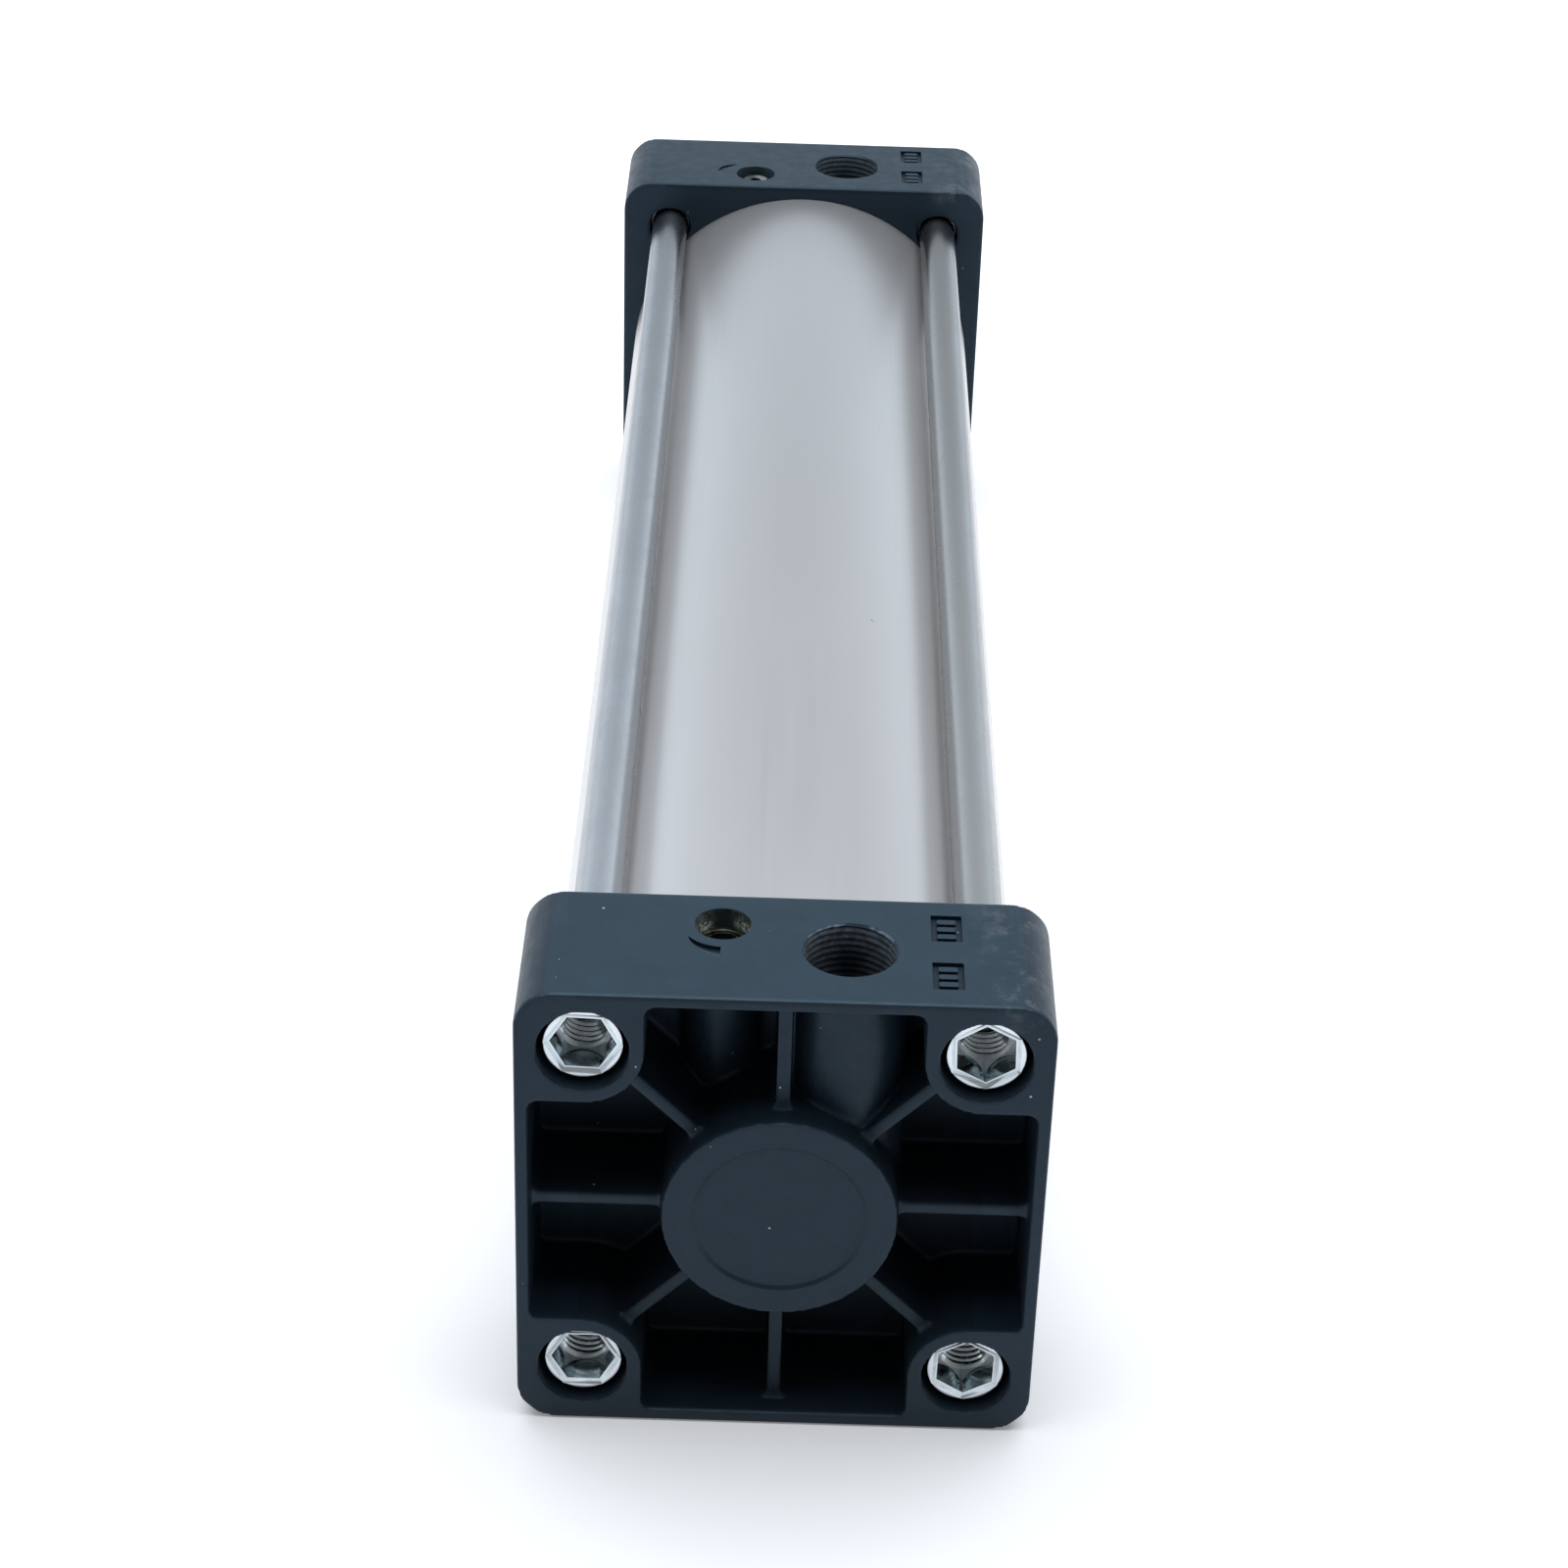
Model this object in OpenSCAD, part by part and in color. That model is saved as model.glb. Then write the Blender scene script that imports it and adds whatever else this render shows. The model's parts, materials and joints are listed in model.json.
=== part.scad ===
// Tie-rod pneumatic cylinder, double acting, with adjustable cushioning at both ends.
// The cylinder axis lies along +Y. The origin is the centre of the rear cover's outer face,
// the ports open upwards along +Z, and the rod is drawn fully retracted.

/* [Bore and stroke] */
// Inside diameter of the tube
bore = 80; // [79:0.5:81]
// Travel of the piston
stroke = 300; // [50:10:600]
// Wall thickness of the tube
tube_wall = 4; // [3:0.5:4]

/* [Covers] */
// Side of the square covers
cover_side = 94; // [93:0.5:98]
// Length of each cover along the axis
cover_len = 33; // [33:0.5:38]
// Radius of the covers' four long edges
cover_corner_r = 7.5; // [4:0.5:8]
// Depth of the weight-saving pockets
pocket_depth = 23; // [10:0.5:23]
// Thickness of the rim around the pockets
rim_wall = 2.5; // [2.5:0.1:3]
// Thickness of the ribs between the pockets
rib_wall = 2.5; // [2:0.1:4]
// How far the ribs lie below the cover's outer face
rib_recess = 4.5; // [1:0.5:8]
// Diameter of the centre boss on the rear cover
rear_boss_d = 42.3; // [42:0.1:44]
// Diameter of the pilot boss on the front cover
pilot_d = 47; // [46:0.5:48]
// Length of the pilot boss
pilot_len = 21; // [18:0.5:30]

/* [Tie rods] */
// Spacing of the tie rods, centre to centre
tie_spacing = 70; // [70:0.1:71]
// Diameter of a tie rod's plain shank
tie_shank_d = 9; // [8:0.5:9]
// Major diameter of the tie rods' thread
tie_thread_d = 10; // [9.5:0.5:10]
// Outside diameter of a tie-rod nut
nut_d = 14; // [13:0.1:15]
// Hexagon socket in a tie-rod nut, across flats
nut_hex_af = 10.2; // [10.2:0.1:11]
// Depth of that hexagon socket
nut_hex_depth = 6; // [4:0.5:7]
// How far the nuts lie below the covers' outer faces
nut_recess = 2.5; // [0:0.1:4]

/* [Ports and cushion needles] */
// Major diameter of the port thread
port_d = 16.66; // [13.2:0.01:16.7]
// Depth of the port thread
port_depth = 14; // [10:0.5:16]
// Sideways place of both ports
port_x = 11; // [10:0.1:12]
// Distance of a port from its cover's outer face
port_y = 16.5; // [15:0.1:17]
// Diameter of the well over a cushion needle
needle_well_d = 10; // [9.5:0.1:11]
// Sideways place and distance from the outer face of the rear needle
rear_needle_xy = [-11.5, 23.6]; // [-14:0.1:24]
// Sideways place and distance from the outer face of the front needle
front_needle_xy = [-13, 23.4]; // [-14:0.1:24]
// How far the rear needle is backed out of its seat
rear_needle_open = 0.75; // [0:0.05:6]
// How far the front needle is backed out of its seat
front_needle_open = 6; // [0:0.05:6]

/* [Piston rod] */
// Diameter of the piston rod
rod_d = 25; // [24:0.5:25]
// Major diameter of the rod-end thread
rod_thread_d = 20; // [16:1:20]
// Length of the rod-end thread
rod_thread_len = 40; // [25:1:60]
// Plain rod between the pilot boss and the thread, retracted
rod_plain_len = 14; // [13:0.5:30]
// Wrench flats on the rod, across flats
rod_flats_af = 22; // [20:0.5:23]
// Lock nut on the rod-end thread, across flats
lock_nut_af = 30; // [27:1:32]
// Thickness of the lock nut
lock_nut_len = 10; // [6:0.5:12]

/* [Hidden] */
$fn = 96;
EPS = 0.01;
HEX = 6;

CASTING = [0.19, 0.25, 0.29];
TUBE_SILVER = [0.78, 0.80, 0.82];
ZINC = [0.80, 0.82, 0.82];
ROD_STEEL = [0.66, 0.68, 0.70];
CHROMED = [0.86, 0.87, 0.88];
ALLOY = [0.72, 0.72, 0.70];
BRONZE = [0.62, 0.50, 0.30];
BRASS = [0.60, 0.54, 0.34];
RUBBER = [0.07, 0.07, 0.07];
RESIN = [0.85, 0.82, 0.70];

// Clearances, measured on the radius
static_gap = 0.05;
running_gap = 0.06;
end_gap = 0.3;

// Stations along the axis
spigot_len = 6;
piston_len = 29.4;
tube_len = stroke + piston_len + 2 * (spigot_len + end_gap);
tube_y = cover_len;
front_y = 2 * cover_len + tube_len;
pilot_end_y = front_y + pilot_len;
piston_y = cover_len + spigot_len + end_gap;
piston_end_y = piston_y + piston_len;

// Cover casting, in its own frame: outer face at 0, tube side at cover_len
pad_r = 10.8;
pad_edge = tie_spacing / 2 - pad_r;
pocket_corner_r = 3;
rib_corner_r = 1.8;
boss_recess = [31, 0.5];
port_boss_r = 10.7;
needle_boss_r = 7;
port_chamfer = 0.5;
port_passage_r = 6.5;
chamber_r = 18;
chamber_floor = 5;
chamber_side_z = 10;
chamber_mouth_r = 17.2;
seal_lip = 2.5;
seal_groove = [20, 5];
o_groove_r = 37.4;
o_groove = [1.4, 3.2];
nut_well_r = 8.15;
nut_len = 22.5;
tie_hole_r = tie_thread_d / 2 + 0.3;
tie_end_recess = 16;
tie_thread_len = 5;

// Label panels on top of each cover: low corner and size, in its own frame
panel_size = [5.5, 8.3];
panel_depth = 0.75;
rear_panels = [[25.2, 5], [25.2, 20]];
front_panels = [[25.3, 4], [25.3, 18.6]];

// Direction marks engraved beside the needles. The rear one is an arc round its needle, from
// one angle to another, that widens from a point; the front one is a leaf between two points
mark_depth = 0.7;
mark_steps = 12;
arc_mark_r = 7.35;
arc_mark_angles = [216, 268.5];
arc_mark_width = 3.1;
arc_mark_swell = 0.85;
leaf_mark_ends = [[-22.9, 22.4], [-18.1, 17.4]];
leaf_mark_bow = 1.4;

// Rod seat in the front cover
bush_r = 14.5;
bush_y = 9.5;
bush_len = 20.5;
rod_seal_r = 18.5;
rod_seal_len = 10;

// Parts clamped on the rear end of the piston rod
spindle_r = 9;
sleeve_r = 16;
sleeve_len = 18;
front_sleeve_len = 20;
piston_thread_r = 8;
piston_nut_af = 24;
piston_nut_len = 9;
piston_r = bore / 2 - 0.4;
rear_sleeve_y = piston_y - sleeve_len;
piston_nut_y = rear_sleeve_y - piston_nut_len;
front_sleeve_end_y = piston_end_y + front_sleeve_len;
rod_rear_y = piston_nut_y - 1.5;
rod_thread_y = pilot_end_y + rod_plain_len;
rod_end_y = rod_thread_y + rod_thread_len;
rod_flats_len = 9;
rod_relief = [1.1, 2.5];
rod_pitch_r = rod_thread_d / 2 - 0.49;
rod_chamfer = 1.5;
lock_nut_y = rod_thread_y + 3.5;

// Grooves of the piston
seal_groove_len = 6;
seal_groove_r = bore / 2 - 6;
seal_inset = 3.2;
wear_groove_len = 8;
wear_groove_r = bore / 2 - 2.5;

// Hole of a cushion needle, measured down from the top of the cover
top_z = cover_side / 2;
ring_depth = 4;
ring_len = 0.9;
ring_out_r = needle_well_d / 2 + 0.35;
ring_in_r = 4.1;
ring_gap = 2;
needle_bore_r = 4.3;
needle_bore_end = 16;
needle_seat_z = top_z - 27;
seat_r = 1.5;
bypass_z = needle_seat_z + seat_r;

// Cushion needle, measured down from the top of its head
needle_closed_z = top_z - 7.55;
needle_neck_r = 3.3;
needle_neck_end = 3.7;
needle_shoulder_r = needle_bore_r - running_gap;
needle_o_drop = 4.7;
needle_o_groove = [3.1, 2.4];
needle_shoulder_end = 8;
needle_thread_r = 3;
needle_thread_end = 16.4;
needle_tip_r = 1.4;
needle_tip_end = 20.45;
needle_cone_end = 22.45;
needle_hex_af = 2.5;
needle_hex_depth = 3;

corners = [[1, 1], [-1, 1], [-1, -1], [1, -1]];
// Turn of each nut's hexagon socket, in the order of corners
rear_hex_turns = [28, 2, 0, 31];
front_hex_turns = [12, 25, 4, 17];

// Moves a shape drawn along +Z so that it lies along +Y from y
module along_y(y = 0) {
    translate([0, y, 0]) rotate([-90, 0, 0]) children();
}

// A round hole or bar along +Y
module bar_y(x, z, r, y0, y1) {
    translate([x, 0, z]) along_y(y0) cylinder(r = r, h = y1 - y0);
}

// A ring along +Y
module ring_y(r_out, r_in, y0, y1) {
    difference() {
        bar_y(0, 0, r_out, y0, y1);
        bar_y(0, 0, r_in, y0 - 1, y1 + 1);
    }
}

// A round hole or bar that hangs down from height z1 to z0
module bar_z(x, y, r, z0, z1) {
    translate([x, y, z0]) cylinder(r = r, h = z1 - z0);
}

// An O-ring round the axis: r is the radius of its centre line, w of its section
module o_ring_y(r, w, y) {
    along_y(y) rotate_extrude() translate([r, 0]) circle(r = w, $fn = 32);
}

// A square with round corners, centred
module rounded_square(side, r) {
    square([side, side - 2 * r], center = true);
    square([side - 2 * r, side], center = true);
    for (c = corners) translate(c * (side / 2 - r)) circle(r = r);
}

// Repeats its children at the four tie rods
module at_tie_rods() {
    for (c = corners) translate([c[0] * tie_spacing / 2, 0, c[1] * tie_spacing / 2]) children();
}

// The pad that carries a tie-rod nut, in the plane of the cover's face
module corner_pad() {
    reach = cover_side / 2 - pad_edge;
    translate([tie_spacing / 2, tie_spacing / 2]) circle(r = pad_r);
    translate([tie_spacing / 2, pad_edge]) square([reach, reach]);
    translate([pad_edge, tie_spacing / 2]) square([reach, reach]);
}

// Area inside the rim, outside the corner pads and round the centre boss
module pocket_area(boss_r, corner_r) {
    offset(r = corner_r, $fn = 32) offset(delta = -corner_r) difference() {
        rounded_square(cover_side - 2 * rim_wall, cover_corner_r - rim_wall);
        for (c = corners) mirror([c[0] < 0 ? 1 : 0, 0]) mirror([0, c[1] < 0 ? 1 : 0]) corner_pad();
        circle(r = boss_r);
        children();
    }
}

// Eight ribs from the centre boss outwards
module ribs() {
    for (a = [0:45:315]) rotate(a) translate([0, -rib_wall / 2]) square([cover_side, rib_wall]);
}

// The eight pockets that lighten a cover, less the bosses of the port and the needle
module pockets(boss_r, needle) {
    difference() {
        union() {
            along_y(-1) linear_extrude(rib_recess + 1) pocket_area(boss_r, pocket_corner_r);
            along_y(0) linear_extrude(pocket_depth) pocket_area(boss_r, rib_corner_r) ribs();
        }
        bar_z(port_x, port_y, port_boss_r, 0, top_z);
        bar_z(needle[0], needle[1], needle_boss_r, 0, top_z);
    }
}

// Port thread bore with its chamfer, and the passage down to the cushion chamber
module port_hole() {
    r = port_d / 2;
    bar_z(port_x, port_y, r, top_z - port_depth, top_z + 1);
    bar_z(port_x, port_y, port_passage_r, chamber_side_z, top_z);
    translate([port_x, port_y, top_z - port_chamfer])
        cylinder(r1 = r, r2 = r + port_chamfer + EPS, h = port_chamfer + EPS);
}

// Stepped hole of a cushion needle, its seat, and the bypass from the tube
module needle_hole(needle) {
    x = needle[0];
    y = needle[1];
    bar_z(x, y, needle_well_d / 2, top_z - ring_depth, top_z + 1);
    bar_z(x, y, ring_out_r, top_z - ring_depth - ring_len, top_z - ring_depth);
    bar_z(x, y, needle_bore_r, top_z - needle_bore_end, top_z);
    bar_z(x, y, needle_thread_r + static_gap, needle_seat_z, top_z);
    bar_z(x, y, seat_r, chamber_side_z, top_z);
    bar_y(x, bypass_z, seat_r, y, cover_len + spigot_len + 1);
}

// Recessed panels that take a size mark
module panels(places) {
    for (p = places) translate([p[0], p[1], top_z - panel_depth])
        cube([panel_size[0], panel_size[1], 1]);
}

// Tapered arc engraved beside the rear needle
module arc_mark() {
    from = arc_mark_angles[0];
    turn = arc_mark_angles[1] - from;
    inner = [for (i = [0:mark_steps])
        let (a = from + turn * i / mark_steps) arc_mark_r * [cos(a), sin(a)]];
    outer = [for (i = [mark_steps:-1:0])
        let (t = i / mark_steps, a = from + turn * t)
            (arc_mark_r + arc_mark_width * pow(t, arc_mark_swell)) * [cos(a), sin(a)]];
    translate([rear_needle_xy[0], rear_needle_xy[1], top_z - mark_depth])
        linear_extrude(1) polygon(concat(inner, outer));
}

// Leaf-shaped mark engraved beside the front needle: one edge straight, the other bowed
module leaf_mark() {
    start = leaf_mark_ends[0];
    span = leaf_mark_ends[1] - start;
    side = [span[1], -span[0]] / norm(span);
    bow = [for (i = [0:mark_steps]) start + span * i / mark_steps
        + side * leaf_mark_bow * sin(180 * i / mark_steps)];
    translate([0, 0, top_z - mark_depth]) linear_extrude(1) polygon(bow);
}

// What the two covers share, in the cover's own frame
module cover_casting(boss_r, needle) {
    difference() {
        union() {
            along_y() linear_extrude(cover_len) rounded_square(cover_side, cover_corner_r);
            bar_y(0, 0, bore / 2 - static_gap, cover_len - 1, cover_len + spigot_len);
            children();
        }
        pockets(boss_r, needle);
        at_tie_rods() {
            bar_y(0, 0, nut_well_r, -1, nut_recess + nut_len);
            bar_y(0, 0, tie_hole_r, 0, cover_len + 1);
        }
        ring_y(bore / 2 + 1, o_groove_r, cover_len + o_groove[0], cover_len + o_groove[0] + o_groove[1]);
        port_hole();
        needle_hole(needle);
        cushion_seat();
    }
}

// Mouth of the cushion chamber and the groove of its seal
module cushion_seat() {
    mouth_y = cover_len + spigot_len;
    groove_end = mouth_y - seal_lip;
    bar_y(0, 0, chamber_mouth_r, groove_end - 1, mouth_y + 1);
    bar_y(0, 0, seal_groove[0], groove_end - seal_groove[1], groove_end);
}

module rear_cover() {
    color(CASTING) difference() {
        cover_casting(rear_boss_d / 2, rear_needle_xy);
        bar_y(0, 0, boss_recess[0] / 2, -1, boss_recess[1]);
        bar_y(0, 0, chamber_r, chamber_floor, cover_len + spigot_len - seal_lip - seal_groove[1] + EPS);
        panels(rear_panels);
        arc_mark();
    }
}

module front_cover() {
    color(CASTING) translate([0, front_y, 0]) mirror([0, 1, 0]) difference() {
        cover_casting(pilot_d / 2, front_needle_xy)
            along_y(-pilot_len) {
                cylinder(d = pilot_d, h = pilot_len + cover_len - 1);
            }
        bar_y(0, 0, chamber_r, bush_y, cover_len + spigot_len - seal_lip - seal_groove[1] + EPS);
        bar_y(0, 0, bush_r, bush_y - bush_len, cover_len);
        bar_y(0, 0, rod_seal_r, -pilot_len - 1, rod_seal_len - pilot_len);
        panels(front_panels);
        leaf_mark();
    }
}

module tube() {
    color(TUBE_SILVER) ring_y(bore / 2 + tube_wall, bore / 2, tube_y, tube_y + tube_len);
}

// One tie rod, which stops inside its two nuts. Its rolled threads stand proud of the shank
// behind the nuts; inside them it is drawn at the pitch diameter, where the threads meet
module tie_rod(corner) {
    x = corner[0] * tie_spacing / 2;
    z = corner[1] * tie_spacing / 2;
    nut_end = nut_recess + nut_len;
    color(ROD_STEEL) {
        bar_y(x, z, tie_shank_d / 2, tie_end_recess, front_y - tie_end_recess);
        bar_y(x, z, tie_thread_d / 2, nut_end, nut_end + tie_thread_len);
        bar_y(x, z, tie_thread_d / 2, front_y - nut_end - tie_thread_len, front_y - nut_end);
    }
}

// Round nut with a hexagon socket, its outer face at 0. The free stretch of its thread is
// drawn at the major diameter, and the stretch that the tie rod fills at the pitch diameter
module tie_nut(turn) {
    difference() {
        bar_y(0, 0, nut_d / 2, 0, nut_len);
        bar_y(0, 0, tie_thread_d / 2, -1, tie_end_recess - nut_recess);
        bar_y(0, 0, tie_shank_d / 2, 1, nut_len + 1);
        along_y(-1) rotate(turn) cylinder(d = nut_hex_af / cos(30), h = nut_hex_depth + 1, $fn = HEX);
    }
}

module tie_nuts(turns) {
    color(ZINC) for (i = [0:3])
        translate([corners[i][0] * tie_spacing / 2, nut_recess, corners[i][1] * tie_spacing / 2])
            tie_nut(turns[i]);
}

module rear_tie_nuts() {
    tie_nuts(rear_hex_turns);
}

module front_tie_nuts() {
    translate([0, front_y, 0]) mirror([0, 1, 0]) tie_nuts(front_hex_turns);
}

// Seal between the tube and a cover's spigot; y is its middle
module tube_o_ring(y) {
    section = (bore / 2 - o_groove_r) / 2 - EPS;
    color(RUBBER) o_ring_y((bore / 2 + o_groove_r) / 2, section, y);
}

module rear_tube_o_ring() {
    tube_o_ring(cover_len + o_groove[0] + o_groove[1] / 2);
}

module front_tube_o_ring() {
    tube_o_ring(front_y - cover_len - o_groove[0] - o_groove[1] / 2);
}

module rod_bush() {
    y = front_y - bush_y;
    color(BRONZE) ring_y(bush_r, rod_d / 2 + running_gap / 2, y, y + bush_len);
}

// Rod packing: an outer shell with an inner pressure lip and an outer wiper lip
module rod_seal() {
    lip_r = rod_d / 2 + running_gap;
    body_r = lip_r + 2.4;
    color(RUBBER) along_y(pilot_end_y - rod_seal_len) rotate_extrude() polygon([
        [body_r - 0.6, 0], [lip_r, 1.2], [lip_r, 2.6], [body_r, 5.2],
        [lip_r + 1.4, 8], [lip_r, 9.6], [lip_r + 0.9, 10.4], [body_r, 9.4], [rod_seal_r, 9.4],
        [rod_seal_r, 0], [rod_seal_r - 1.6, 0], [rod_seal_r - 2.2, 3], [body_r + 0.2, 3]
    ]);
}

// Cushion seal: the sleeve enters its lip; drawn from its back at 0
module cushion_seal_shape() {
    lip_r = sleeve_r + running_gap;
    color(RUBBER) rotate_extrude() polygon([
        [lip_r + 1, 0], [lip_r, 1.4], [lip_r, 2.8], [lip_r + 1.4, seal_groove[1]],
        [seal_groove[0], seal_groove[1]], [seal_groove[0], 0]
    ]);
}

module rear_cushion_seal() {
    along_y(cover_len + spigot_len - seal_lip - seal_groove[1]) cushion_seal_shape();
}

module front_cushion_seal() {
    translate([0, front_y, 0]) mirror([0, 1, 0]) rear_cushion_seal();
}

// Chromed rod: thread for the piston nut, spindle, main shank and rod-end thread. The stretch
// inside the lock nut is drawn at the pitch diameter, where the two threads meet
module piston_rod() {
    r = rod_d / 2;
    tr = rod_thread_d / 2;
    color(CHROMED) difference() {
        along_y() rotate_extrude() polygon([
            [0, rod_rear_y], [piston_thread_r - 1, rod_rear_y], [piston_thread_r, rod_rear_y + 1],
            [piston_thread_r, rear_sleeve_y], [spindle_r, rear_sleeve_y],
            [spindle_r, front_sleeve_end_y], [r, front_sleeve_end_y],
            [r, rod_thread_y - 1], [r - 1, rod_thread_y],
            [tr - rod_relief[0], rod_thread_y], [tr - rod_relief[0], rod_thread_y + rod_relief[1]],
            [rod_pitch_r, rod_thread_y + rod_relief[1] + 1], [rod_pitch_r, lock_nut_y + lock_nut_len],
            [tr, lock_nut_y + lock_nut_len],
            [tr, rod_end_y - rod_chamfer], [tr - rod_chamfer, rod_end_y], [0, rod_end_y]
        ]);
        for (s = [-1, 1])
            translate([-rod_d, rod_thread_y - 2 - rod_flats_len, s > 0 ? rod_flats_af / 2 : -rod_d])
                cube([2 * rod_d, rod_flats_len, rod_d - rod_flats_af / 2]);
    }
}

// Alloy piston with grooves for two lip seals, a wear ring and a bore O-ring
module piston() {
    middle = piston_y + piston_len / 2;
    rear_groove = piston_y + seal_inset;
    front_groove = piston_end_y - seal_inset - seal_groove_len;
    color(ALLOY) difference() {
        ring_y(piston_r, spindle_r, piston_y, piston_end_y);
        ring_y(bore, seal_groove_r, rear_groove, rear_groove + seal_groove_len);
        ring_y(bore, seal_groove_r, front_groove, front_groove + seal_groove_len);
        ring_y(bore, wear_groove_r, middle - wear_groove_len / 2, middle + wear_groove_len / 2);
        bar_y(0, 0, spindle_r + 1.8, middle - 1.2, middle + 1.2);
    }
}

module wear_ring() {
    middle = piston_y + piston_len / 2;
    half = wear_groove_len / 2 - running_gap;
    color(RESIN) ring_y(bore / 2 - running_gap, wear_groove_r + running_gap, middle - half, middle + half);
}

// Lip seal of the piston, its open side at seal_groove_len
module piston_seal_shape() {
    r0 = seal_groove_r + running_gap;
    r1 = bore / 2 - running_gap;
    w = seal_groove_len - running_gap;
    color(RUBBER) rotate_extrude() polygon([
        [r0, running_gap], [r1 - 0.8, running_gap], [r1 - 0.5, w / 2], [r1, w - 0.8], [r1 - 0.6, w],
        [r1 - 1.6, w], [r1 - 2.6, w / 2], [r0 + 2.2, w / 2], [r0 + 1.4, w], [r0, w]
    ]);
}

module front_piston_seal() {
    along_y(piston_end_y - seal_inset - seal_groove_len) piston_seal_shape();
}

module rear_piston_seal() {
    translate([0, piston_y + seal_inset + seal_groove_len, 0])
        mirror([0, 1, 0]) along_y() piston_seal_shape();
}

module piston_o_ring() {
    color(RUBBER) o_ring_y(spindle_r + 0.9, 0.9 - EPS, piston_y + piston_len / 2);
}

// Cushion sleeve with a tapered nose at 0 that meets the seal first
module sleeve_shape(len) {
    color(CHROMED) rotate_extrude() polygon([
        [spindle_r, 0], [sleeve_r - 1.2, 0], [sleeve_r, 3], [sleeve_r, len], [spindle_r, len]
    ]);
}

module rear_cushion_sleeve() {
    along_y(rear_sleeve_y) sleeve_shape(sleeve_len);
}

module front_cushion_sleeve() {
    translate([0, front_sleeve_end_y, 0]) mirror([0, 1, 0]) along_y() sleeve_shape(front_sleeve_len);
}

// Hexagon nut along +Y from y, with a bore of radius r
module hex_nut(af, r, y, len) {
    difference() {
        intersection() {
            along_y(y) cylinder(d = af / cos(30), h = len, $fn = HEX);
            along_y(y) rotate_extrude() polygon([
                [0, 0], [af / 2 - 0.2, 0], [af / 2 + 2.6, 1.6], [af / 2 + 2.6, len - 1.6],
                [af / 2 - 0.2, len], [0, len]
            ]);
        }
        bar_y(0, 0, r, y - 1, y + len + 1);
    }
}

module piston_nut() {
    color(ZINC) hex_nut(piston_nut_af, piston_thread_r, piston_nut_y, piston_nut_len);
}

module rod_lock_nut() {
    color(ZINC) hex_nut(lock_nut_af, rod_pitch_r, lock_nut_y, lock_nut_len);
}

// Cushion needle, its head at 0: neck with a hexagon socket, shoulder with an O-ring groove,
// thread, and metering tip
module needle_shape() {
    r = needle_shoulder_r;
    o_end = needle_o_drop + needle_o_groove[1];
    color(BRASS) difference() {
        rotate_extrude() polygon([
            [0, 0], [needle_neck_r - 0.4, 0], [needle_neck_r, -0.4],
            [needle_neck_r, -needle_neck_end], [r, -needle_neck_end], [r, -needle_o_drop],
            [needle_o_groove[0], -needle_o_drop], [needle_o_groove[0], -o_end], [r, -o_end],
            [r, -needle_shoulder_end], [needle_thread_r, -needle_shoulder_end],
            [needle_thread_r, -needle_thread_end], [needle_tip_r, -needle_thread_end],
            [needle_tip_r, -needle_tip_end], [0.3, -needle_cone_end], [0, -needle_cone_end]
        ]);
        translate([0, 0, -needle_hex_depth])
            cylinder(d = needle_hex_af / cos(30), h = needle_hex_depth + 1, $fn = HEX);
    }
}

module needle_o_ring_shape() {
    r0 = needle_o_groove[0] + running_gap;
    r1 = needle_bore_r - running_gap;
    w = (r1 - r0) / 2;
    color(RUBBER) translate([0, 0, -needle_o_drop - needle_o_groove[1] / 2])
        rotate_extrude() translate([r0 + w, 0]) circle(r = w, $fn = 32);
}

// Split ring that keeps the needle from being backed right out, its underside at 0
module needle_ring_shape() {
    color(BRASS) difference() {
        cylinder(r = ring_out_r, h = ring_len);
        translate([0, 0, -1]) cylinder(r = ring_in_r, h = ring_len + 2);
        translate([-ring_gap / 2, -2 * ring_out_r, -1]) cube([ring_gap, 2 * ring_out_r, ring_len + 2]);
    }
}

// Brings the parts of a needle to the rear or the front cover, at height z
module at_rear_needle(z) {
    translate([rear_needle_xy[0], rear_needle_xy[1], z]) children();
}

module at_front_needle(z) {
    translate([front_needle_xy[0], front_y - front_needle_xy[1], z]) children();
}

module rear_needle() { at_rear_needle(needle_closed_z + rear_needle_open) needle_shape(); }
module front_needle() { at_front_needle(needle_closed_z + front_needle_open) needle_shape(); }
module rear_needle_o_ring() { at_rear_needle(needle_closed_z + rear_needle_open) needle_o_ring_shape(); }
module front_needle_o_ring() { at_front_needle(needle_closed_z + front_needle_open) needle_o_ring_shape(); }
module rear_needle_ring() { at_rear_needle(top_z - ring_depth - ring_len) needle_ring_shape(); }
module front_needle_ring() { at_front_needle(top_z - ring_depth - ring_len) needle_ring_shape(); }

rear_cover();
front_cover();
tube();
tie_rod(corners[0]);  // tie_rod_1
tie_rod(corners[1]);  // tie_rod_2
tie_rod(corners[2]);  // tie_rod_3
tie_rod(corners[3]);  // tie_rod_4
rear_tie_nuts();
front_tie_nuts();
rear_tube_o_ring();
front_tube_o_ring();
rod_bush();
rod_seal();
rear_cushion_seal();
front_cushion_seal();
piston_rod();
piston();
wear_ring();
rear_piston_seal();
front_piston_seal();
piston_o_ring();
rear_cushion_sleeve();
front_cushion_sleeve();
piston_nut();
rod_lock_nut();
rear_needle();
front_needle();
rear_needle_o_ring();
front_needle_o_ring();
rear_needle_ring();
front_needle_ring();
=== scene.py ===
"""The looks of a tie-rod pneumatic cylinder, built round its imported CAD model.

Meshes are drawn in millimetres in the CAD model's frame and scaled to metres as they become pieces.
The cylinder lies along +Y with its ports up; the rod comes out at the far end."""

import json
import math

import bmesh
import bpy
from mathutils import Matrix, Quaternion, Vector


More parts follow.
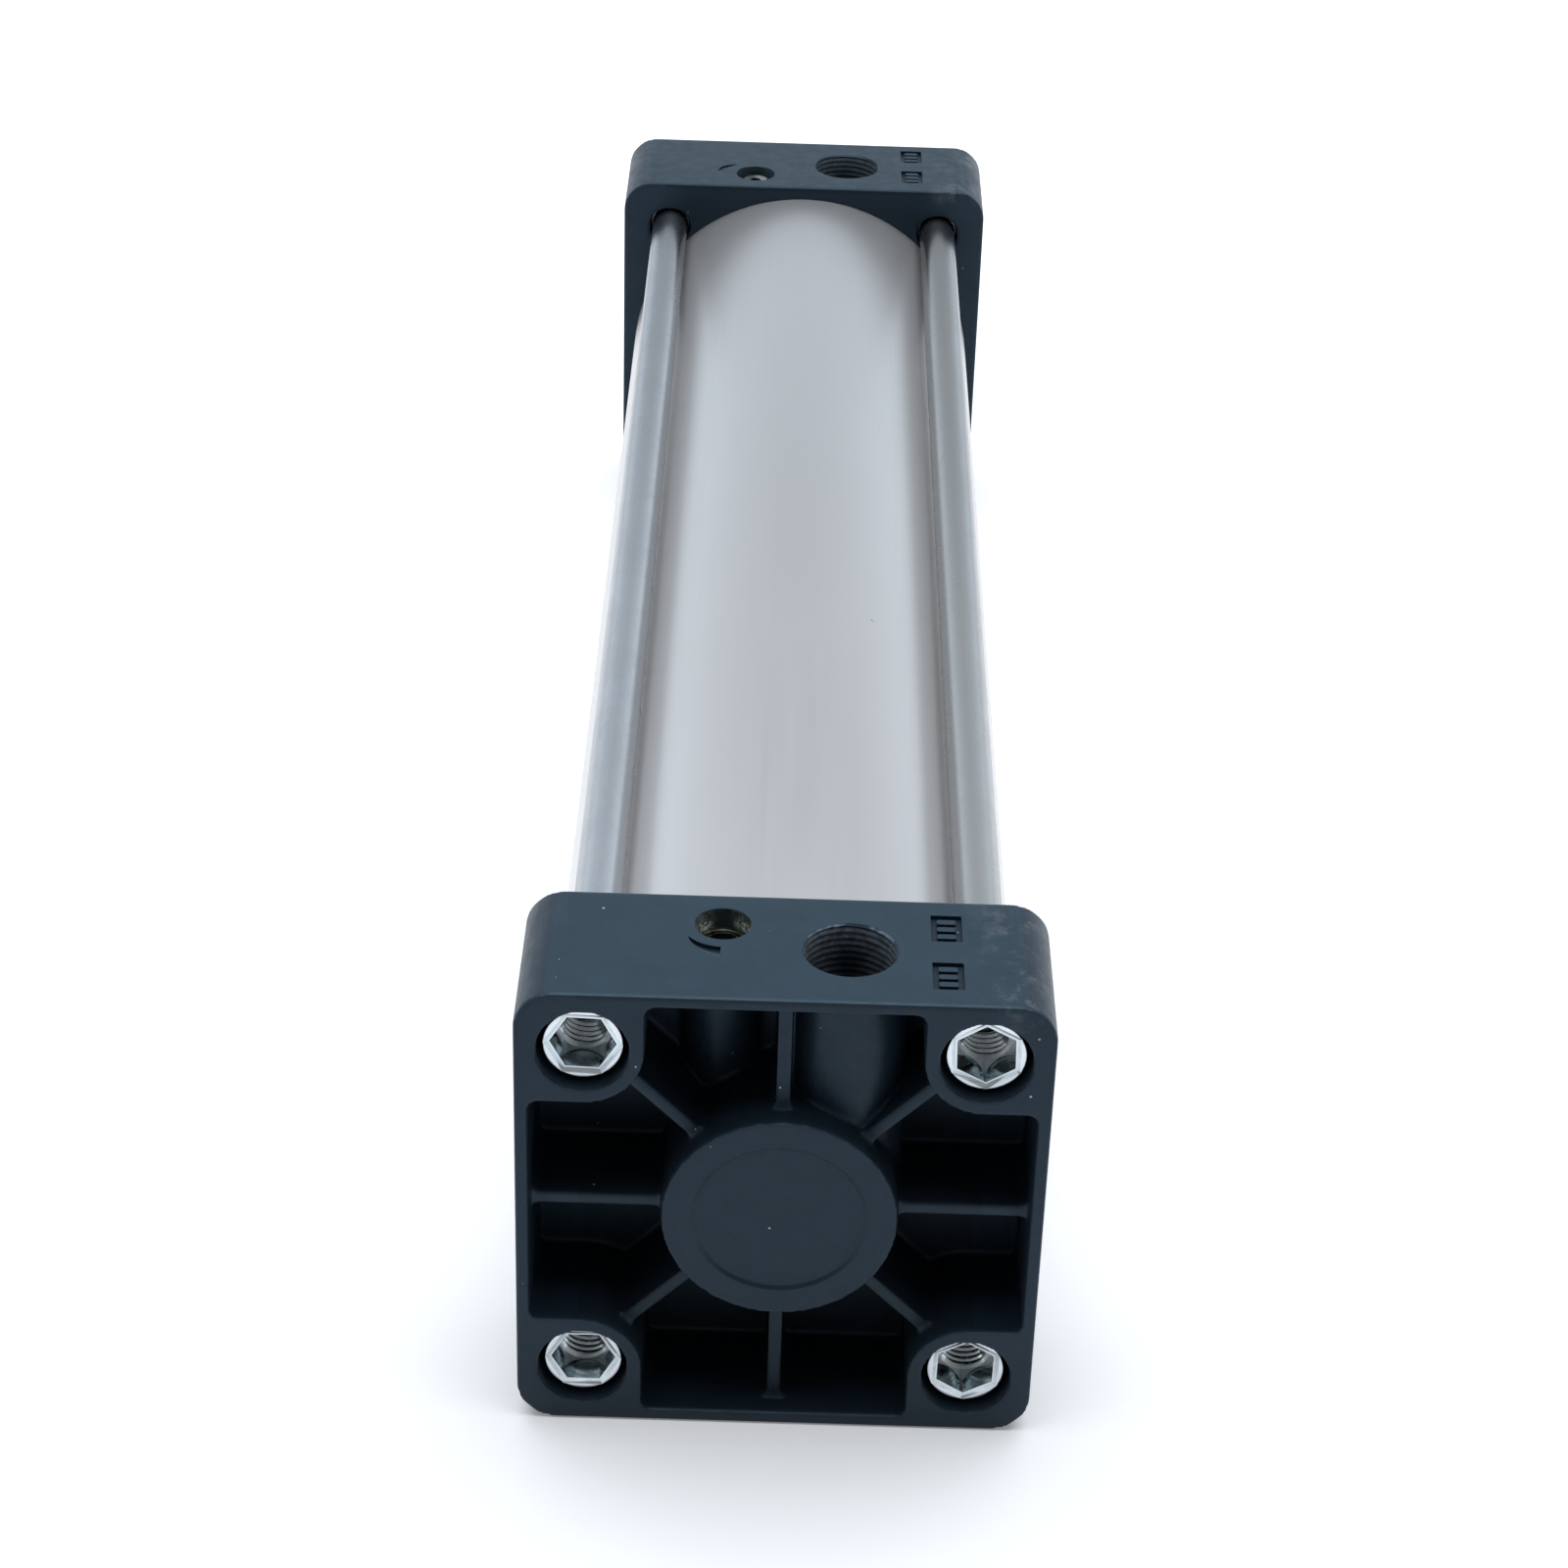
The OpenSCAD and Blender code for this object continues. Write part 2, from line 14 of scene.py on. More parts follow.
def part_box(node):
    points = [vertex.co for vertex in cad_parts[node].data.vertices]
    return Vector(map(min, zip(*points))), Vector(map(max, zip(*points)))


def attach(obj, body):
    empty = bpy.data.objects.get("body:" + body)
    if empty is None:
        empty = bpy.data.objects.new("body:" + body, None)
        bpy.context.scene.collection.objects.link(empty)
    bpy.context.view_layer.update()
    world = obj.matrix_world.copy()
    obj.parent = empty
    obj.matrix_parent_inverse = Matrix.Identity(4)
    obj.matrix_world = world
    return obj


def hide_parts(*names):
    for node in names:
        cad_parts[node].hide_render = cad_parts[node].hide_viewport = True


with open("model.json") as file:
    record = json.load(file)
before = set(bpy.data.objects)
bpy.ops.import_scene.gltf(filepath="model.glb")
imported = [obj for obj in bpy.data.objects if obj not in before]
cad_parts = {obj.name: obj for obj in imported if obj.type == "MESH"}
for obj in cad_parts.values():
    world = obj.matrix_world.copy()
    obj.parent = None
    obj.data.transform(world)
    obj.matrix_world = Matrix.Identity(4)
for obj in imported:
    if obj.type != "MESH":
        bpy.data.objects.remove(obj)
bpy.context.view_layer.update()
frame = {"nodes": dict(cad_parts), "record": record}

MM = 0.001
SEGMENTS = 128


# ---------------------------------------------------------------- sizes from the frame, in mm

def node_box(node):
    """Lowest and highest corner of a CAD node, in mm."""
    lo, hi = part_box(node)
    return lo / MM, hi / MM


def node_middle(node):
    """Middle of a CAD node's box, in mm."""
    lo, hi = node_box(node)
    return (lo + hi) / 2


def mount(name):
    """Position and sizes of one of the record's mounts, in mm."""
    found = next(m for m in frame["record"]["mounts"] if m["name"] == name)
    return Vector(found["pos_m"]) / MM, found["dims"]


tube_lo, tube_hi = node_box("tube")
TUBE_R = tube_hi.x
TOP = node_box("rear_cover")[1].z
COVER_LEN = tube_lo.y
FRONT_Y = mount("front_face")[0].y
PILOT_END = node_box("front_cover")[1].y
TIE = mount("rear_bolts")[1]["spacing_x_mm"] / 2
CORNERS = [(1, 1), (-1, 1), (-1, -1), (1, -1)]
PORT_R = mount("rear_port")[1]["r_mm"]


# ---------------------------------------------------------------- sizes of the visible detail, in mm

SKIN_HALF = 36.0           # half the width of the flat skin between a cover's corners
PORT_THREAD = 0.24         # depth of the port's thread
PORT_PITCH = 1.337
PORT_DEPTH = 14.0
PASSAGE_R = 6.5
WELL_R = 5.0
WELL_DEPTH = 4.0
RING_OUT_R = WELL_R + 0.35
RING_IN_R = 4.1
RING_LEN = 0.9
NEEDLE_BORE = (4.3, 16.0)  # radius, depth below the top
BOSS_RECESS = (15.5, 0.5)  # radius, depth
PANEL = (5.5, 8.3, 0.75)   # width, length, depth
REAR_PANELS = [(25.2, 5.0), (25.2, 20.0)]    # corners: x, and distance from the cover's outer face
FRONT_PANELS = [(25.3, 4.0), (25.3, 18.6)]
TUBE_WALL = 4.0
SHANK_R = 4.5              # a tie rod between its threads
NUT_R = 7.0
NUT_SOCKET = 6.0           # depth of a tie nut's hexagon socket
NUT_FLATS = 10.2
NUT_THREAD = (5.0, 4.19, 1.5)    # crest radius, root radius, pitch
NUT_THREAD_LEN = 7.7
ROD_THREAD = (10.0, 9.08, 1.5)   # the same of the rod's end thread
ROD_THREAD_LEN = 40.0


# ---------------------------------------------------------------- places

def along_y(x=0.0, y=0.0, z=0.0):
    """Turns a shape drawn along +Z to lie along +Y, then moves it."""
    return Matrix.Translation((x, y, z)) @ Matrix.Rotation(-math.pi / 2, 4, "X")


def against_y(x=0.0, y=0.0, z=0.0):
    """Turns a shape drawn along +Z to lie along -Y, then moves it."""
    return Matrix.Translation((x, y, z)) @ Matrix.Rotation(math.pi / 2, 4, "X")


def upright(x=0.0, y=0.0, z=0.0):
    """Moves a shape drawn along +Z without turning it."""
    return Matrix.Translation((x, y, z))


# ---------------------------------------------------------------- mesh building

def mesh_object(name, bm, place=None):
    """An object from a bmesh, closed and facing outwards."""
    bmesh.ops.recalc_face_normals(bm, faces=bm.faces)
    mesh = bpy.data.meshes.new(name)
    bm.to_mesh(mesh)
    bm.free()
    if place is not None:
        mesh.transform(place)
    made = bpy.data.objects.new(name, mesh)
    bpy.context.scene.collection.objects.link(made)
    return made


def rounded(points, radius, steps=4):
    """A closed outline with its corners rounded; points on the axis stay sharp."""
    out = []
    count = len(points)
    for i, point in enumerate(points):
        here = Vector(point)
        before = Vector(points[i - 1]) - here
        after = Vector(points[(i + 1) % count]) - here
        on_axis = here.x < 1e-6
        straight = abs(before.cross(after)) < 1e-6 * before.length * after.length
        if on_axis or straight:
            out.append(tuple(here))
            continue
        half = before.angle(after) / 2
        reach = min(radius / math.tan(half), 0.45 * before.length, 0.45 * after.length)
        start = here + before.normalized() * reach
        end = here + after.normalized() * reach
        for k in range(steps + 1):
            t = k / steps
            out.append(tuple(start * (1 - t) ** 2 + here * 2 * t * (1 - t) + end * t ** 2))
    return out


def lathe(name, profile, place=None, segments=SEGMENTS):
    """A closed (radius, height) outline turned about Z."""
    bm = bmesh.new()
    rings = []
    for radius, height in profile:
        if radius < 1e-6:
            rings.append([bm.verts.new((0, 0, height))])
            continue
        turns = (2 * math.pi * i / segments for i in range(segments))
        rings.append([bm.verts.new((radius * math.cos(a), radius * math.sin(a), height)) for a in turns])
    for low, high in zip(rings, rings[1:] + rings[:1]):
        if len(low) == 1 and len(high) == 1:
            continue
        for i in range(segments):
            j = (i + 1) % segments
            corners = (low[i % len(low)], low[j % len(low)], high[j % len(high)], high[i % len(high)])
            bm.faces.new(dict.fromkeys(corners))
    return mesh_object(name, bm, place)


def rectangle(left, low, right, high):
    """Corners of a rectangle."""
    return [(left, low), (right, low), (right, high), (left, high)]


def cylinder(name, radius, length, place=None, segments=96):
    """A plain round bar from 0 to its length."""
    return lathe(name, rectangle(0, 0, radius, length), place, segments)


def prism(name, outline, length, place=None):
    """An outline in X and Y pushed up along Z."""
    bm = bmesh.new()
    low = [bm.verts.new((x, y, 0)) for x, y in outline]
    high = [bm.verts.new((x, y, length)) for x, y in outline]
    bm.faces.new(low[::-1])
    bm.faces.new(high)
    for i in range(len(low)):
        j = (i + 1) % len(low)
        bm.faces.new((low[i], low[j], high[j], high[i]))
    return mesh_object(name, bm, place)


def polygon(count, radius, turn=0.0):
    """Corners of a regular polygon."""
    angles = (turn + 2 * math.pi * i / count for i in range(count))
    return [(radius * math.cos(a), radius * math.sin(a)) for a in angles]


def thread_body(name, major, minor, pitch, length, place=None, segments=96):
    """A right-hand threaded bar from below 0 to above length, closed at both ends.

    Every row of vertices follows the helix, so crests and roots lie on edges."""
    shape = [(0.0, minor), (0.25, minor), (0.5625, major), (0.6875, major)]
    rows = len(shape)
    count = rows * (math.ceil(length / pitch) + 3)
    bm = bmesh.new()
    grid = []
    for j in range(segments):
        turn = j / segments
        column = []
        for k in range(count + 1):
            part, radius = shape[k % rows]
            height = (k // rows + part + turn - 2) * pitch
            angle = 2 * math.pi * turn
            column.append(bm.verts.new((radius * math.cos(angle), radius * math.sin(angle), height)))
        grid.append(column)
    for j in range(segments - 1):
        for k in range(count):
            bm.faces.new((grid[j][k], grid[j + 1][k], grid[j + 1][k + 1], grid[j][k + 1]))
    for k in range(count - rows):
        bm.faces.new((grid[-1][k], grid[0][k + rows], grid[0][k + rows + 1], grid[-1][k + 1]))
    # each open end is one turn of the helix and the step of one pitch at its seam
    low = [column[0] for column in grid] + [grid[0][k] for k in range(rows, 0, -1)]
    high = [column[-1] for column in grid] + [grid[-1][count - k] for k in range(1, rows + 1)]
    for loop, height in ((low, -2.5 * pitch), (high, length + 3 * pitch)):
        centre = bm.verts.new((0, 0, height))
        for a, b in zip(loop, loop[1:] + loop[:1]):
            bm.faces.new((a, b, centre))
    return mesh_object(name, bm, place)


def evaluate(made):
    """Applies an object's modifiers to its mesh."""
    shown = made.evaluated_get(bpy.context.evaluated_depsgraph_get())
    mesh = bpy.data.meshes.new_from_object(shown)
    made.modifiers.clear()
    old = made.data
    made.data = mesh
    bpy.data.meshes.remove(old)
    return made


def combine(made, other, operation):
    """Boolean of made with other, which is used up."""
    step = made.modifiers.new("combine", "BOOLEAN")
    step.operation = operation
    step.solver = "MANIFOLD"
    step.object = other
    bpy.context.view_layer.update()
    evaluate(made)
    used = other.data
    bpy.data.objects.remove(other)
    bpy.data.meshes.remove(used)
    return made


def hexagon(across_flats, turn=0.0):
    """Corners of a hexagon from its size across the flats; turn is in degrees."""
    return polygon(6, across_flats / 2 / math.cos(math.pi / 6), math.radians(turn))


def cut(made, *tools):
    """Takes each tool away from made."""
    for tool in tools:
        combine(made, tool, "DIFFERENCE")
    return made


def add(made, *others):
    """Joins each of the others to made."""
    for other in others:
        combine(made, other, "UNION")
    return made


def welded_copy(node, name):
    """A copy of a CAD node's mesh in mm, with the vertices of its edges joined."""
    bm = bmesh.new()
    bm.from_mesh(frame["nodes"][node].data)
    bmesh.ops.scale(bm, vec=(1 / MM,) * 3, verts=bm.verts)
    bmesh.ops.remove_doubles(bm, verts=bm.verts, dist=0.0005)
    return mesh_object(name, bm)


def piece(made, body, material, replaces=(), sharp=30.0):
    """Scales a mesh to metres, shades it and puts it on its body."""
    made.data.transform(Matrix.Scale(MM, 4))
    made.data.shade_smooth()
    made.data.set_sharp_from_angle(angle=math.radians(sharp))
    made.data.materials.clear()
    made.data.materials.append(material)
    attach(made, body)
    if replaces:
        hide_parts(*replaces)
    return made


# ---------------------------------------------------------------- materials

class Shader:
    """A material under construction: its node tree and its Principled shader."""

    def __init__(self, name, **values):
        self.material = bpy.data.materials.new(name)
        self.material.use_nodes = True
        self.tree = self.material.node_tree
        self.surface = self.tree.nodes["Principled BSDF"]
        self.coords = self.node("ShaderNodeTexCoord").outputs["Object"]
        self.x, self.y, self.z = self.node("ShaderNodeSeparateXYZ", Vector=self.coords).outputs
        for key, value in values.items():
            self.surface.inputs[key.replace("_", " ")].default_value = value

    def node(self, kind, settings=None, **inputs):
        """A new node; settings are its own properties, inputs are values or links for its sockets."""
        made = self.tree.nodes.new(kind)
        for key, value in (settings or {}).items():
            setattr(made, key, value)
        for key, value in inputs.items():
            self.plug(made.inputs[key.replace("_", " ")], value)
        return made

    def plug(self, socket, value):
        """Links another node's output to a socket, or gives the socket a plain value."""
        if isinstance(value, bpy.types.NodeSocket):
            self.tree.links.new(value, socket)
        else:
            socket.default_value = value

    def set(self, key, value):
        """Sets or links one of the Principled shader's inputs."""
        self.plug(self.surface.inputs[key], value)

    def noise(self, scale, detail=3.0, roughness=0.5, stretch=None, distortion=0.0):
        """Noise with features about 1/scale metres wide."""
        where = self.coords
        if stretch:
            where = self.node("ShaderNodeMapping", Vector=where, Scale=stretch).outputs[0]
        return self.node("ShaderNodeTexNoise", Vector=where, Scale=scale, Detail=detail,
                         Roughness=roughness, Distortion=distortion).outputs["Fac"]

    def ramp(self, value, low, high, to_low=0.0, to_high=1.0):
        """value from low..high stretched to to_low..to_high, clamped."""
        return self.node("ShaderNodeMapRange", Value=value, From_Min=low, From_Max=high,
                         To_Min=to_low, To_Max=to_high).outputs[0]

    def maths(self, operation, a, b=0.0):
        """The result of one Math node."""
        made = self.node("ShaderNodeMath", {"operation": operation})
        self.plug(made.inputs[0], a)
        self.plug(made.inputs[1], b)
        return made.outputs[0]

    def mix(self, factor, a, b):
        """Colour a where factor is 0, colour b where it is 1."""
        made = self.node("ShaderNodeMix", {"data_type": "RGBA"})
        self.plug(made.inputs[0], factor)
        self.plug(made.inputs[6], a)
        self.plug(made.inputs[7], b)
        return made.outputs[2]

    def scaled(self, factor, value):
        """A mask at part of its strength."""
        return self.maths("MULTIPLY", value, factor)

    def away(self, value, place):
        """Distance in metres of a coordinate from a place given in mm."""
        return self.maths("ABSOLUTE", self.maths("SUBTRACT", value, place * MM))

    def both_sides(self, value):
        """The coordinate without its sign, for what is the same left and right."""
        return self.maths("ABSOLUTE", value)

    def specks(self, per_metre, size, share):
        """1 inside small scattered dots, of which only a share of the cells have one."""
        cells = self.node("ShaderNodeTexVoronoi", Vector=self.coords, Scale=per_metre)
        dot = self.ramp(cells.outputs["Distance"], size, size * 0.6)
        pick = self.node("ShaderNodeSeparateColor", Color=cells.outputs["Color"]).outputs[0]
        chosen = self.ramp(pick, 1 - share, 1 - share + 0.001)
        return self.maths("MULTIPLY", dot, chosen)

    def within(self, value, low, high, soft=0.1):
        """1 where value lies between two heights in mm, with a soft edge outside them."""
        above = self.ramp(value, (low - soft) * MM, low * MM)
        below = self.ramp(value, high * MM, (high + soft) * MM, 1.0, 0.0)
        return self.maths("MULTIPLY", above, below)

    def round_off(self, a, b, place):
        """Distance in metres of the point (a, b) from a place given in mm."""
        da = self.maths("SUBTRACT", a, place[0] * MM)
        db = self.maths("SUBTRACT", b, place[1] * MM)
        squares = self.maths("ADD", self.maths("MULTIPLY", da, da), self.maths("MULTIPLY", db, db))
        return self.maths("SQRT", squares)

    def both(self, *masks):
        """1 only where every mask is 1."""
        product = masks[0]
        for mask in masks[1:]:
            product = self.maths("MULTIPLY", product, mask)
        return product

    def bump(self, height, distance, strength=1.0):
        """Adds a bump over the ones there already; distance is in metres."""
        made = self.node("ShaderNodeBump", Height=height, Distance=distance, Strength=strength)
        before = self.surface.inputs["Normal"]
        if before.links:
            self.tree.links.new(before.links[0].from_socket, made.inputs["Normal"])
        self.set("Normal", made.outputs[0])


def colour(r, g, b):
    """A linear colour from the 0-255 values seen on a screen."""
    def linear(v):
        v /= 255
        return v / 12.92 if v < 0.04045 else ((v + 0.055) / 1.055) ** 2.4
    return (linear(r), linear(g), linear(b), 1.0)


def coating_colour(s):
    """Mottled and grained dark blue-grey with scuffs and dust; painted light makes it paler on top,
    painted shade darkens it towards the floor and in its engraved marks, and the pockets get a flat dim
    painted shade.
    """
    mottle = s.ramp(s.noise(160, 5, 0.7), 0.35, 0.65)
    grain = s.noise(2600, 2, 0.6)
    base = s.mix(mottle, colour(21, 32, 41), colour(24, 36, 46))
    base = s.mix(s.ramp(grain, 0.3, 0.7, 0.0, 0.5), base, colour(30, 43, 55))
    # Painted shade: the coating darkens towards the floor.
    towards_floor = s.ramp(s.z, -TOP * MM, -0.02, 0.6, 0.0)
    base = s.mix(towards_floor, base, colour(12, 20, 26))
    # Painted light: the top face is made paler for the light falling on it from above.
    painted_top_light = s.mix(mottle, colour(28, 44, 54), colour(33, 49, 59))
    base = s.mix(s.within(s.z, TOP - 0.2, TOP + 2, 0.3), base, painted_top_light)
    across = s.within(s.x, -SKIN_HALF, SKIN_HALF)
    # Painted shade: the floors of engraved marks and panels, 0.3 to 0.95 mm down, are darkened.
    recess_shade = s.both(across, s.within(s.z, TOP - 0.95, TOP - 0.3, 0.15))
    base = s.mix(s.scaled(0.5, recess_shade), base, colour(4, 8, 12))
    # Painted shade: the insides of the pockets are set to one flat dim blue-grey.
    hollow = s.both(s.within(s.y, 2.2, 26, 1.0), across, s.within(s.z, -SKIN_HALF, 12, 12))
    base = s.mix(s.scaled(0.75, hollow), base, colour(20, 28, 34))
    scuffed = s.both(s.ramp(s.x, 0.031, 0.040), s.ramp(s.z, (TOP - 7) * MM, (TOP - 1) * MM),
                     s.ramp(s.noise(140, 8, 0.78), 0.5, 0.7))
    base = s.mix(s.scaled(0.45, scuffed), base, colour(128, 130, 132))
    dust = s.maths("MAXIMUM", s.specks(160, 0.045, 0.35), s.specks(330, 0.05, 0.12))
    return s.mix(dust, base, colour(165, 174, 178)), grain


def thread_colour(s, port, wear_and_painted_glints, smear, tones):
    """Bare alloy in the port, with painted shade that darkens it with depth and towards its middle, and a
    coated chamfer.
    """
    thread = s.mix(smear, *tones)
    # Painted shade: the thread darkens with depth and towards the port's middle.
    aside = s.ramp(s.away(s.x, port.x), 0.001, 0.0065, 1.0, 0.25)
    deep = s.ramp(s.z, (TOP - 7) * MM, (TOP - 1.5) * MM, 1.0, 0.1)
    thread = s.mix(s.both(deep, aside), thread, colour(36, 44, 48))
    worn = s.both(s.ramp(s.noise(260, 4, 0.7), 0.48, 0.6), s.ramp(s.y, port.y * MM, (port.y + 6) * MM))
    chamfer = s.mix(s.scaled(wear_and_painted_glints, worn), colour(31, 41, 51), colour(98, 112, 124))
    return s.mix(s.within(s.z, TOP - 0.7, TOP), thread, chamfer)


def well_colour(s, beside, smear, tones):
    """Bare alloy in the needle's well, with painted light at its two sides, painted shade in its middle
    and painted near-black shade in the bore below.
    """
    # Painted light at the two sides of the well and painted shade in its middle.
    wall = s.mix(s.ramp(beside, 0.001, 0.0038), colour(52, 62, 66), s.mix(smear, *tones))
    # Painted shade: the bore below the well is painted near black.
    return s.mix(s.within(s.z, TOP - 20, TOP - 5), wall, colour(16, 18, 18))


def cover_coating(name, port, needle, wear_and_painted_glints, thread_tones, well_tones):
    """Coating on a die casting, with the port and the needle's well left bare; one strength from 0 to 1
    sets both the real wear on the port's chamfer and the painted glints in the well.
    """
    s = Shader(name, IOR=1.4, Specular_Tint=(0.6, 0.8, 1.0, 1.0))
    base, grain = coating_colour(s)
    tapped = s.both(s.ramp(s.round_off(s.x, s.y, port), (PORT_R + 0.3) * MM, (PORT_R + 0.25) * MM),
                    s.within(s.z, TOP - 30, TOP - 0.06, 0.03))
    bored = s.both(s.ramp(s.round_off(s.x, s.y, needle), (RING_OUT_R + 0.1) * MM, RING_OUT_R * MM),
                   s.within(s.z, TOP - 20, TOP - 0.2, 0.05))
    smear = s.ramp(s.noise(700, 5, 0.7), 0.42, 0.6)
    base = s.mix(tapped, base, thread_colour(s, port, wear_and_painted_glints, smear, thread_tones))
    beside = s.away(s.x, needle.x)
    base = s.mix(bored, base, well_colour(s, beside, smear, well_tones))
    # Painted highlights: white, less metallic glints on the two sides of the needle's well.
    painted_glints = s.both(bored, s.ramp(beside, 0.0016, 0.003), s.within(s.z, TOP - 5, TOP - 2.4, 0.9),
                    s.ramp(s.noise(1100, 5, 0.75), 0.49, 0.56))
    painted_glints = s.scaled(wear_and_painted_glints, painted_glints)
    s.set("Base Color", s.mix(painted_glints, base, colour(225, 228, 218)))
    bare = s.maths("MAXIMUM", s.scaled(0.4, tapped), bored)
    s.set("Metallic", s.scaled(0.45, s.maths("SUBTRACT", bare, painted_glints)))
    coat = s.ramp(s.noise(300, 4, 0.6), 0.3, 0.7, 0.38, 0.5)
    s.set("Roughness", s.maths("SUBTRACT", coat, s.scaled(0.12, bare)))
    s.bump(grain, 0.00004, 0.35)
    return s.material


def tube_alloy():
    """Satin anodised alloy with a fine lengthwise grain and a few marks, with painted shade on its crown
    and far end and painted light on its flanks at the near end.
    """
    s = Shader("tube_alloy", Metallic=0.65)
    drawn = s.noise(900, 3, 0.6, stretch=(1, 0.02, 1))
    cloud = s.noise(14, 3, 0.5)
    painted_shade = colour(186, 185, 184)
    base = s.mix(s.ramp(cloud, 0.3, 0.7), colour(206, 204, 202), colour(209, 207, 205))
    # Painted shade darkens the crown.
    off_crown = s.both_sides(s.x)
    base = s.mix(s.ramp(off_crown, 0.004, 0.026, 0.65, 0.0), base, painted_shade)
    # At the near end, painted light brightens the two flanks and painted shade darkens the crown.
    near = s.ramp(s.y, 0.04, 0.14, 1.0, 0.0)
    base = s.mix(s.both(near, s.ramp(s.x, -0.026, -0.006, 1.0, 0.0)), base, colour(222, 220, 219))
    base = s.mix(s.both(near, s.ramp(off_crown, 0.004, 0.02, 0.45, 0.0)), base, colour(172, 171, 170))
    base = s.mix(s.both(near, s.ramp(s.x, 0.012, 0.03)), base, colour(216, 214, 213))
    base = s.mix(s.ramp(drawn, 0.35, 0.65, 0.0, 0.08), base, colour(184, 188, 194))
    # Painted shade darkens the far end.
    base = s.mix(s.ramp(s.y, 0.15, 0.38, 0.0, 0.75), base, colour(171, 171, 171))
    s.set("Base Color", s.mix(s.specks(55, 0.02, 0.3), base, colour(110, 112, 116)))
    s.set("Roughness", s.ramp(drawn, 0.3, 0.7, 0.33, 0.36))
    s.bump(s.noise(3000, 2, 0.5), 0.00001, 0.15)
    return s.material


def tie_rod_steel():
    """Drawn steel bar, slightly stained, with painted shade on its flanks and on the rods on the right."""
    s = Shader("tie_rod_steel", Metallic=1.0)
    drawn = s.noise(1500, 3, 0.6, stretch=(1, 0.01, 1))
    stain = s.noise(120, 6, 0.7, stretch=(1, 0.5, 1), distortion=0.6)
    base = s.mix(s.ramp(stain, 0.42, 0.6), colour(192, 193, 195), colour(185, 186, 188))
    base = s.mix(s.ramp(drawn, 0.4, 0.6, 0.0, 0.15), base, colour(201, 201, 203))
    # Painted shade darkens the rods on the right.
    base = s.mix(s.ramp(s.x, 0.0, 0.03, 0.0, 0.6), base, colour(170, 166, 158))
    # Painted shade darkens each rod's outer and inner flanks.
    outward = s.maths("SUBTRACT", s.both_sides(s.x), TIE * MM)
    flank_shade = s.maths("MAXIMUM", s.ramp(outward, 0.0005, 0.0042, 0.0, 0.75),
                     s.ramp(outward, -0.0042, -0.001, 0.4, 0.0))
    s.set("Base Color", s.mix(flank_shade, base, colour(104, 110, 118)))
    s.set("Roughness", s.ramp(stain, 0.35, 0.65, 0.25, 0.29))
    s.bump(drawn, 0.00001, 0.05)
    return s.material


def zinc_plate(name="zinc_plate", face_y=None):
    """Bright zinc plating, slightly cloudy; on a tie nut, whose outer face is at face_y, painted light
    whitens that face and a ledge in the socket's mouth, and painted highlights whiten the corners at the
    bottom of its socket."""
    s = Shader(name, Metallic=1.0)
    cloud = s.noise(400, 4, 0.6)
    base = s.mix(s.ramp(cloud, 0.35, 0.65), colour(200, 211, 215), colour(181, 191, 194))
    rough = s.ramp(cloud, 0.3, 0.7, 0.08, 0.15)
    if face_y is not None:
        depth = s.away(s.y, face_y)
        # Painted light: the outer face and the ledge in the socket's mouth are whitened.
        face = s.maths("MAXIMUM", s.ramp(depth, 0.00012, 0.00006), s.within(depth, 0.46, 0.55, 0.02))
        # Painted highlights: the corners at the bottom of the socket are whitened and made less metallic.
        aside = s.away(s.both_sides(s.x), TIE)
        corner = s.both(s.ramp(aside, 0.003, 0.0042),
                        s.within(depth, NUT_SOCKET - 0.15, NUT_SOCKET + 0.4, 0.05))
        s.set("Metallic", s.ramp(corner, 0.0, 1.0, 1.0, 0.35))
        face = s.maths("MAXIMUM", face, corner)
        base = s.mix(face, base, colour(226, 231, 236))
        rough = s.maths("MAXIMUM", rough, s.scaled(0.34, face))
    s.set("Base Color", base)
    s.set("Roughness", rough)
    s.bump(s.noise(260, 2, 0.5), 0.00002, 0.25)
    return s.material


def turned_metal(name, light, dark, smooth, rough, metallic=1.0):
    """Machined metal: fine turning marks over a faint cloud of colour."""
    s = Shader(name, Metallic=metallic)
    cloud = s.noise(240, 4, 0.6)
    marks = s.noise(3500, 2, 0.5)
    s.set("Base Color", s.mix(s.ramp(cloud, 0.35, 0.65), light, dark))
    s.set("Roughness", s.ramp(marks, 0.3, 0.7, smooth, rough))
    s.bump(marks, 0.00001, 0.4)
    return s.material


def plated_brass():
    """Plated brass screw, with painted shade on one side of its head."""
    s = Shader("needle_brass", Metallic=1.0)
    cloud = s.noise(500, 4, 0.6)
    middle = node_middle("front_needle").x
    # Painted shade darkens the left side of the head.
    painted_shade = s.ramp(s.x, (middle - 0.8) * MM, (middle + 1.2) * MM, 0.95, 0.0)
    base = s.mix(s.ramp(cloud, 0.35, 0.65), colour(214, 216, 211), colour(190, 192, 186))
    s.set("Base Color", s.mix(painted_shade, base, colour(100, 106, 104)))
    s.set("Roughness", s.ramp(cloud, 0.3, 0.7, 0.12, 0.22))
    s.bump(s.noise(3500, 2, 0.5), 0.00001, 0.4)
    return s.material


def rubber():
    """Black rubber with a dull bloom."""
    s = Shader("rubber")
    bloom = s.noise(160, 4, 0.6)
    s.set("Base Color", s.mix(s.ramp(bloom, 0.4, 0.7), colour(24, 24, 25), colour(38, 38, 39)))
    s.set("Roughness", s.ramp(bloom, 0.3, 0.7, 0.55, 0.75))
    s.bump(s.noise(2200, 2), 0.00002, 0.4)
    return s.material


def guide_resin():
    """Cream bearing resin with a fine mottle."""
    s = Shader("guide_resin")
    mottle = s.noise(400, 4, 0.6)
    s.set("Base Color", s.mix(s.ramp(mottle, 0.4, 0.6), colour(204, 196, 172), colour(188, 178, 152)))
    s.set("Roughness", s.ramp(mottle, 0.3, 0.7, 0.5, 0.65))
    return s.material


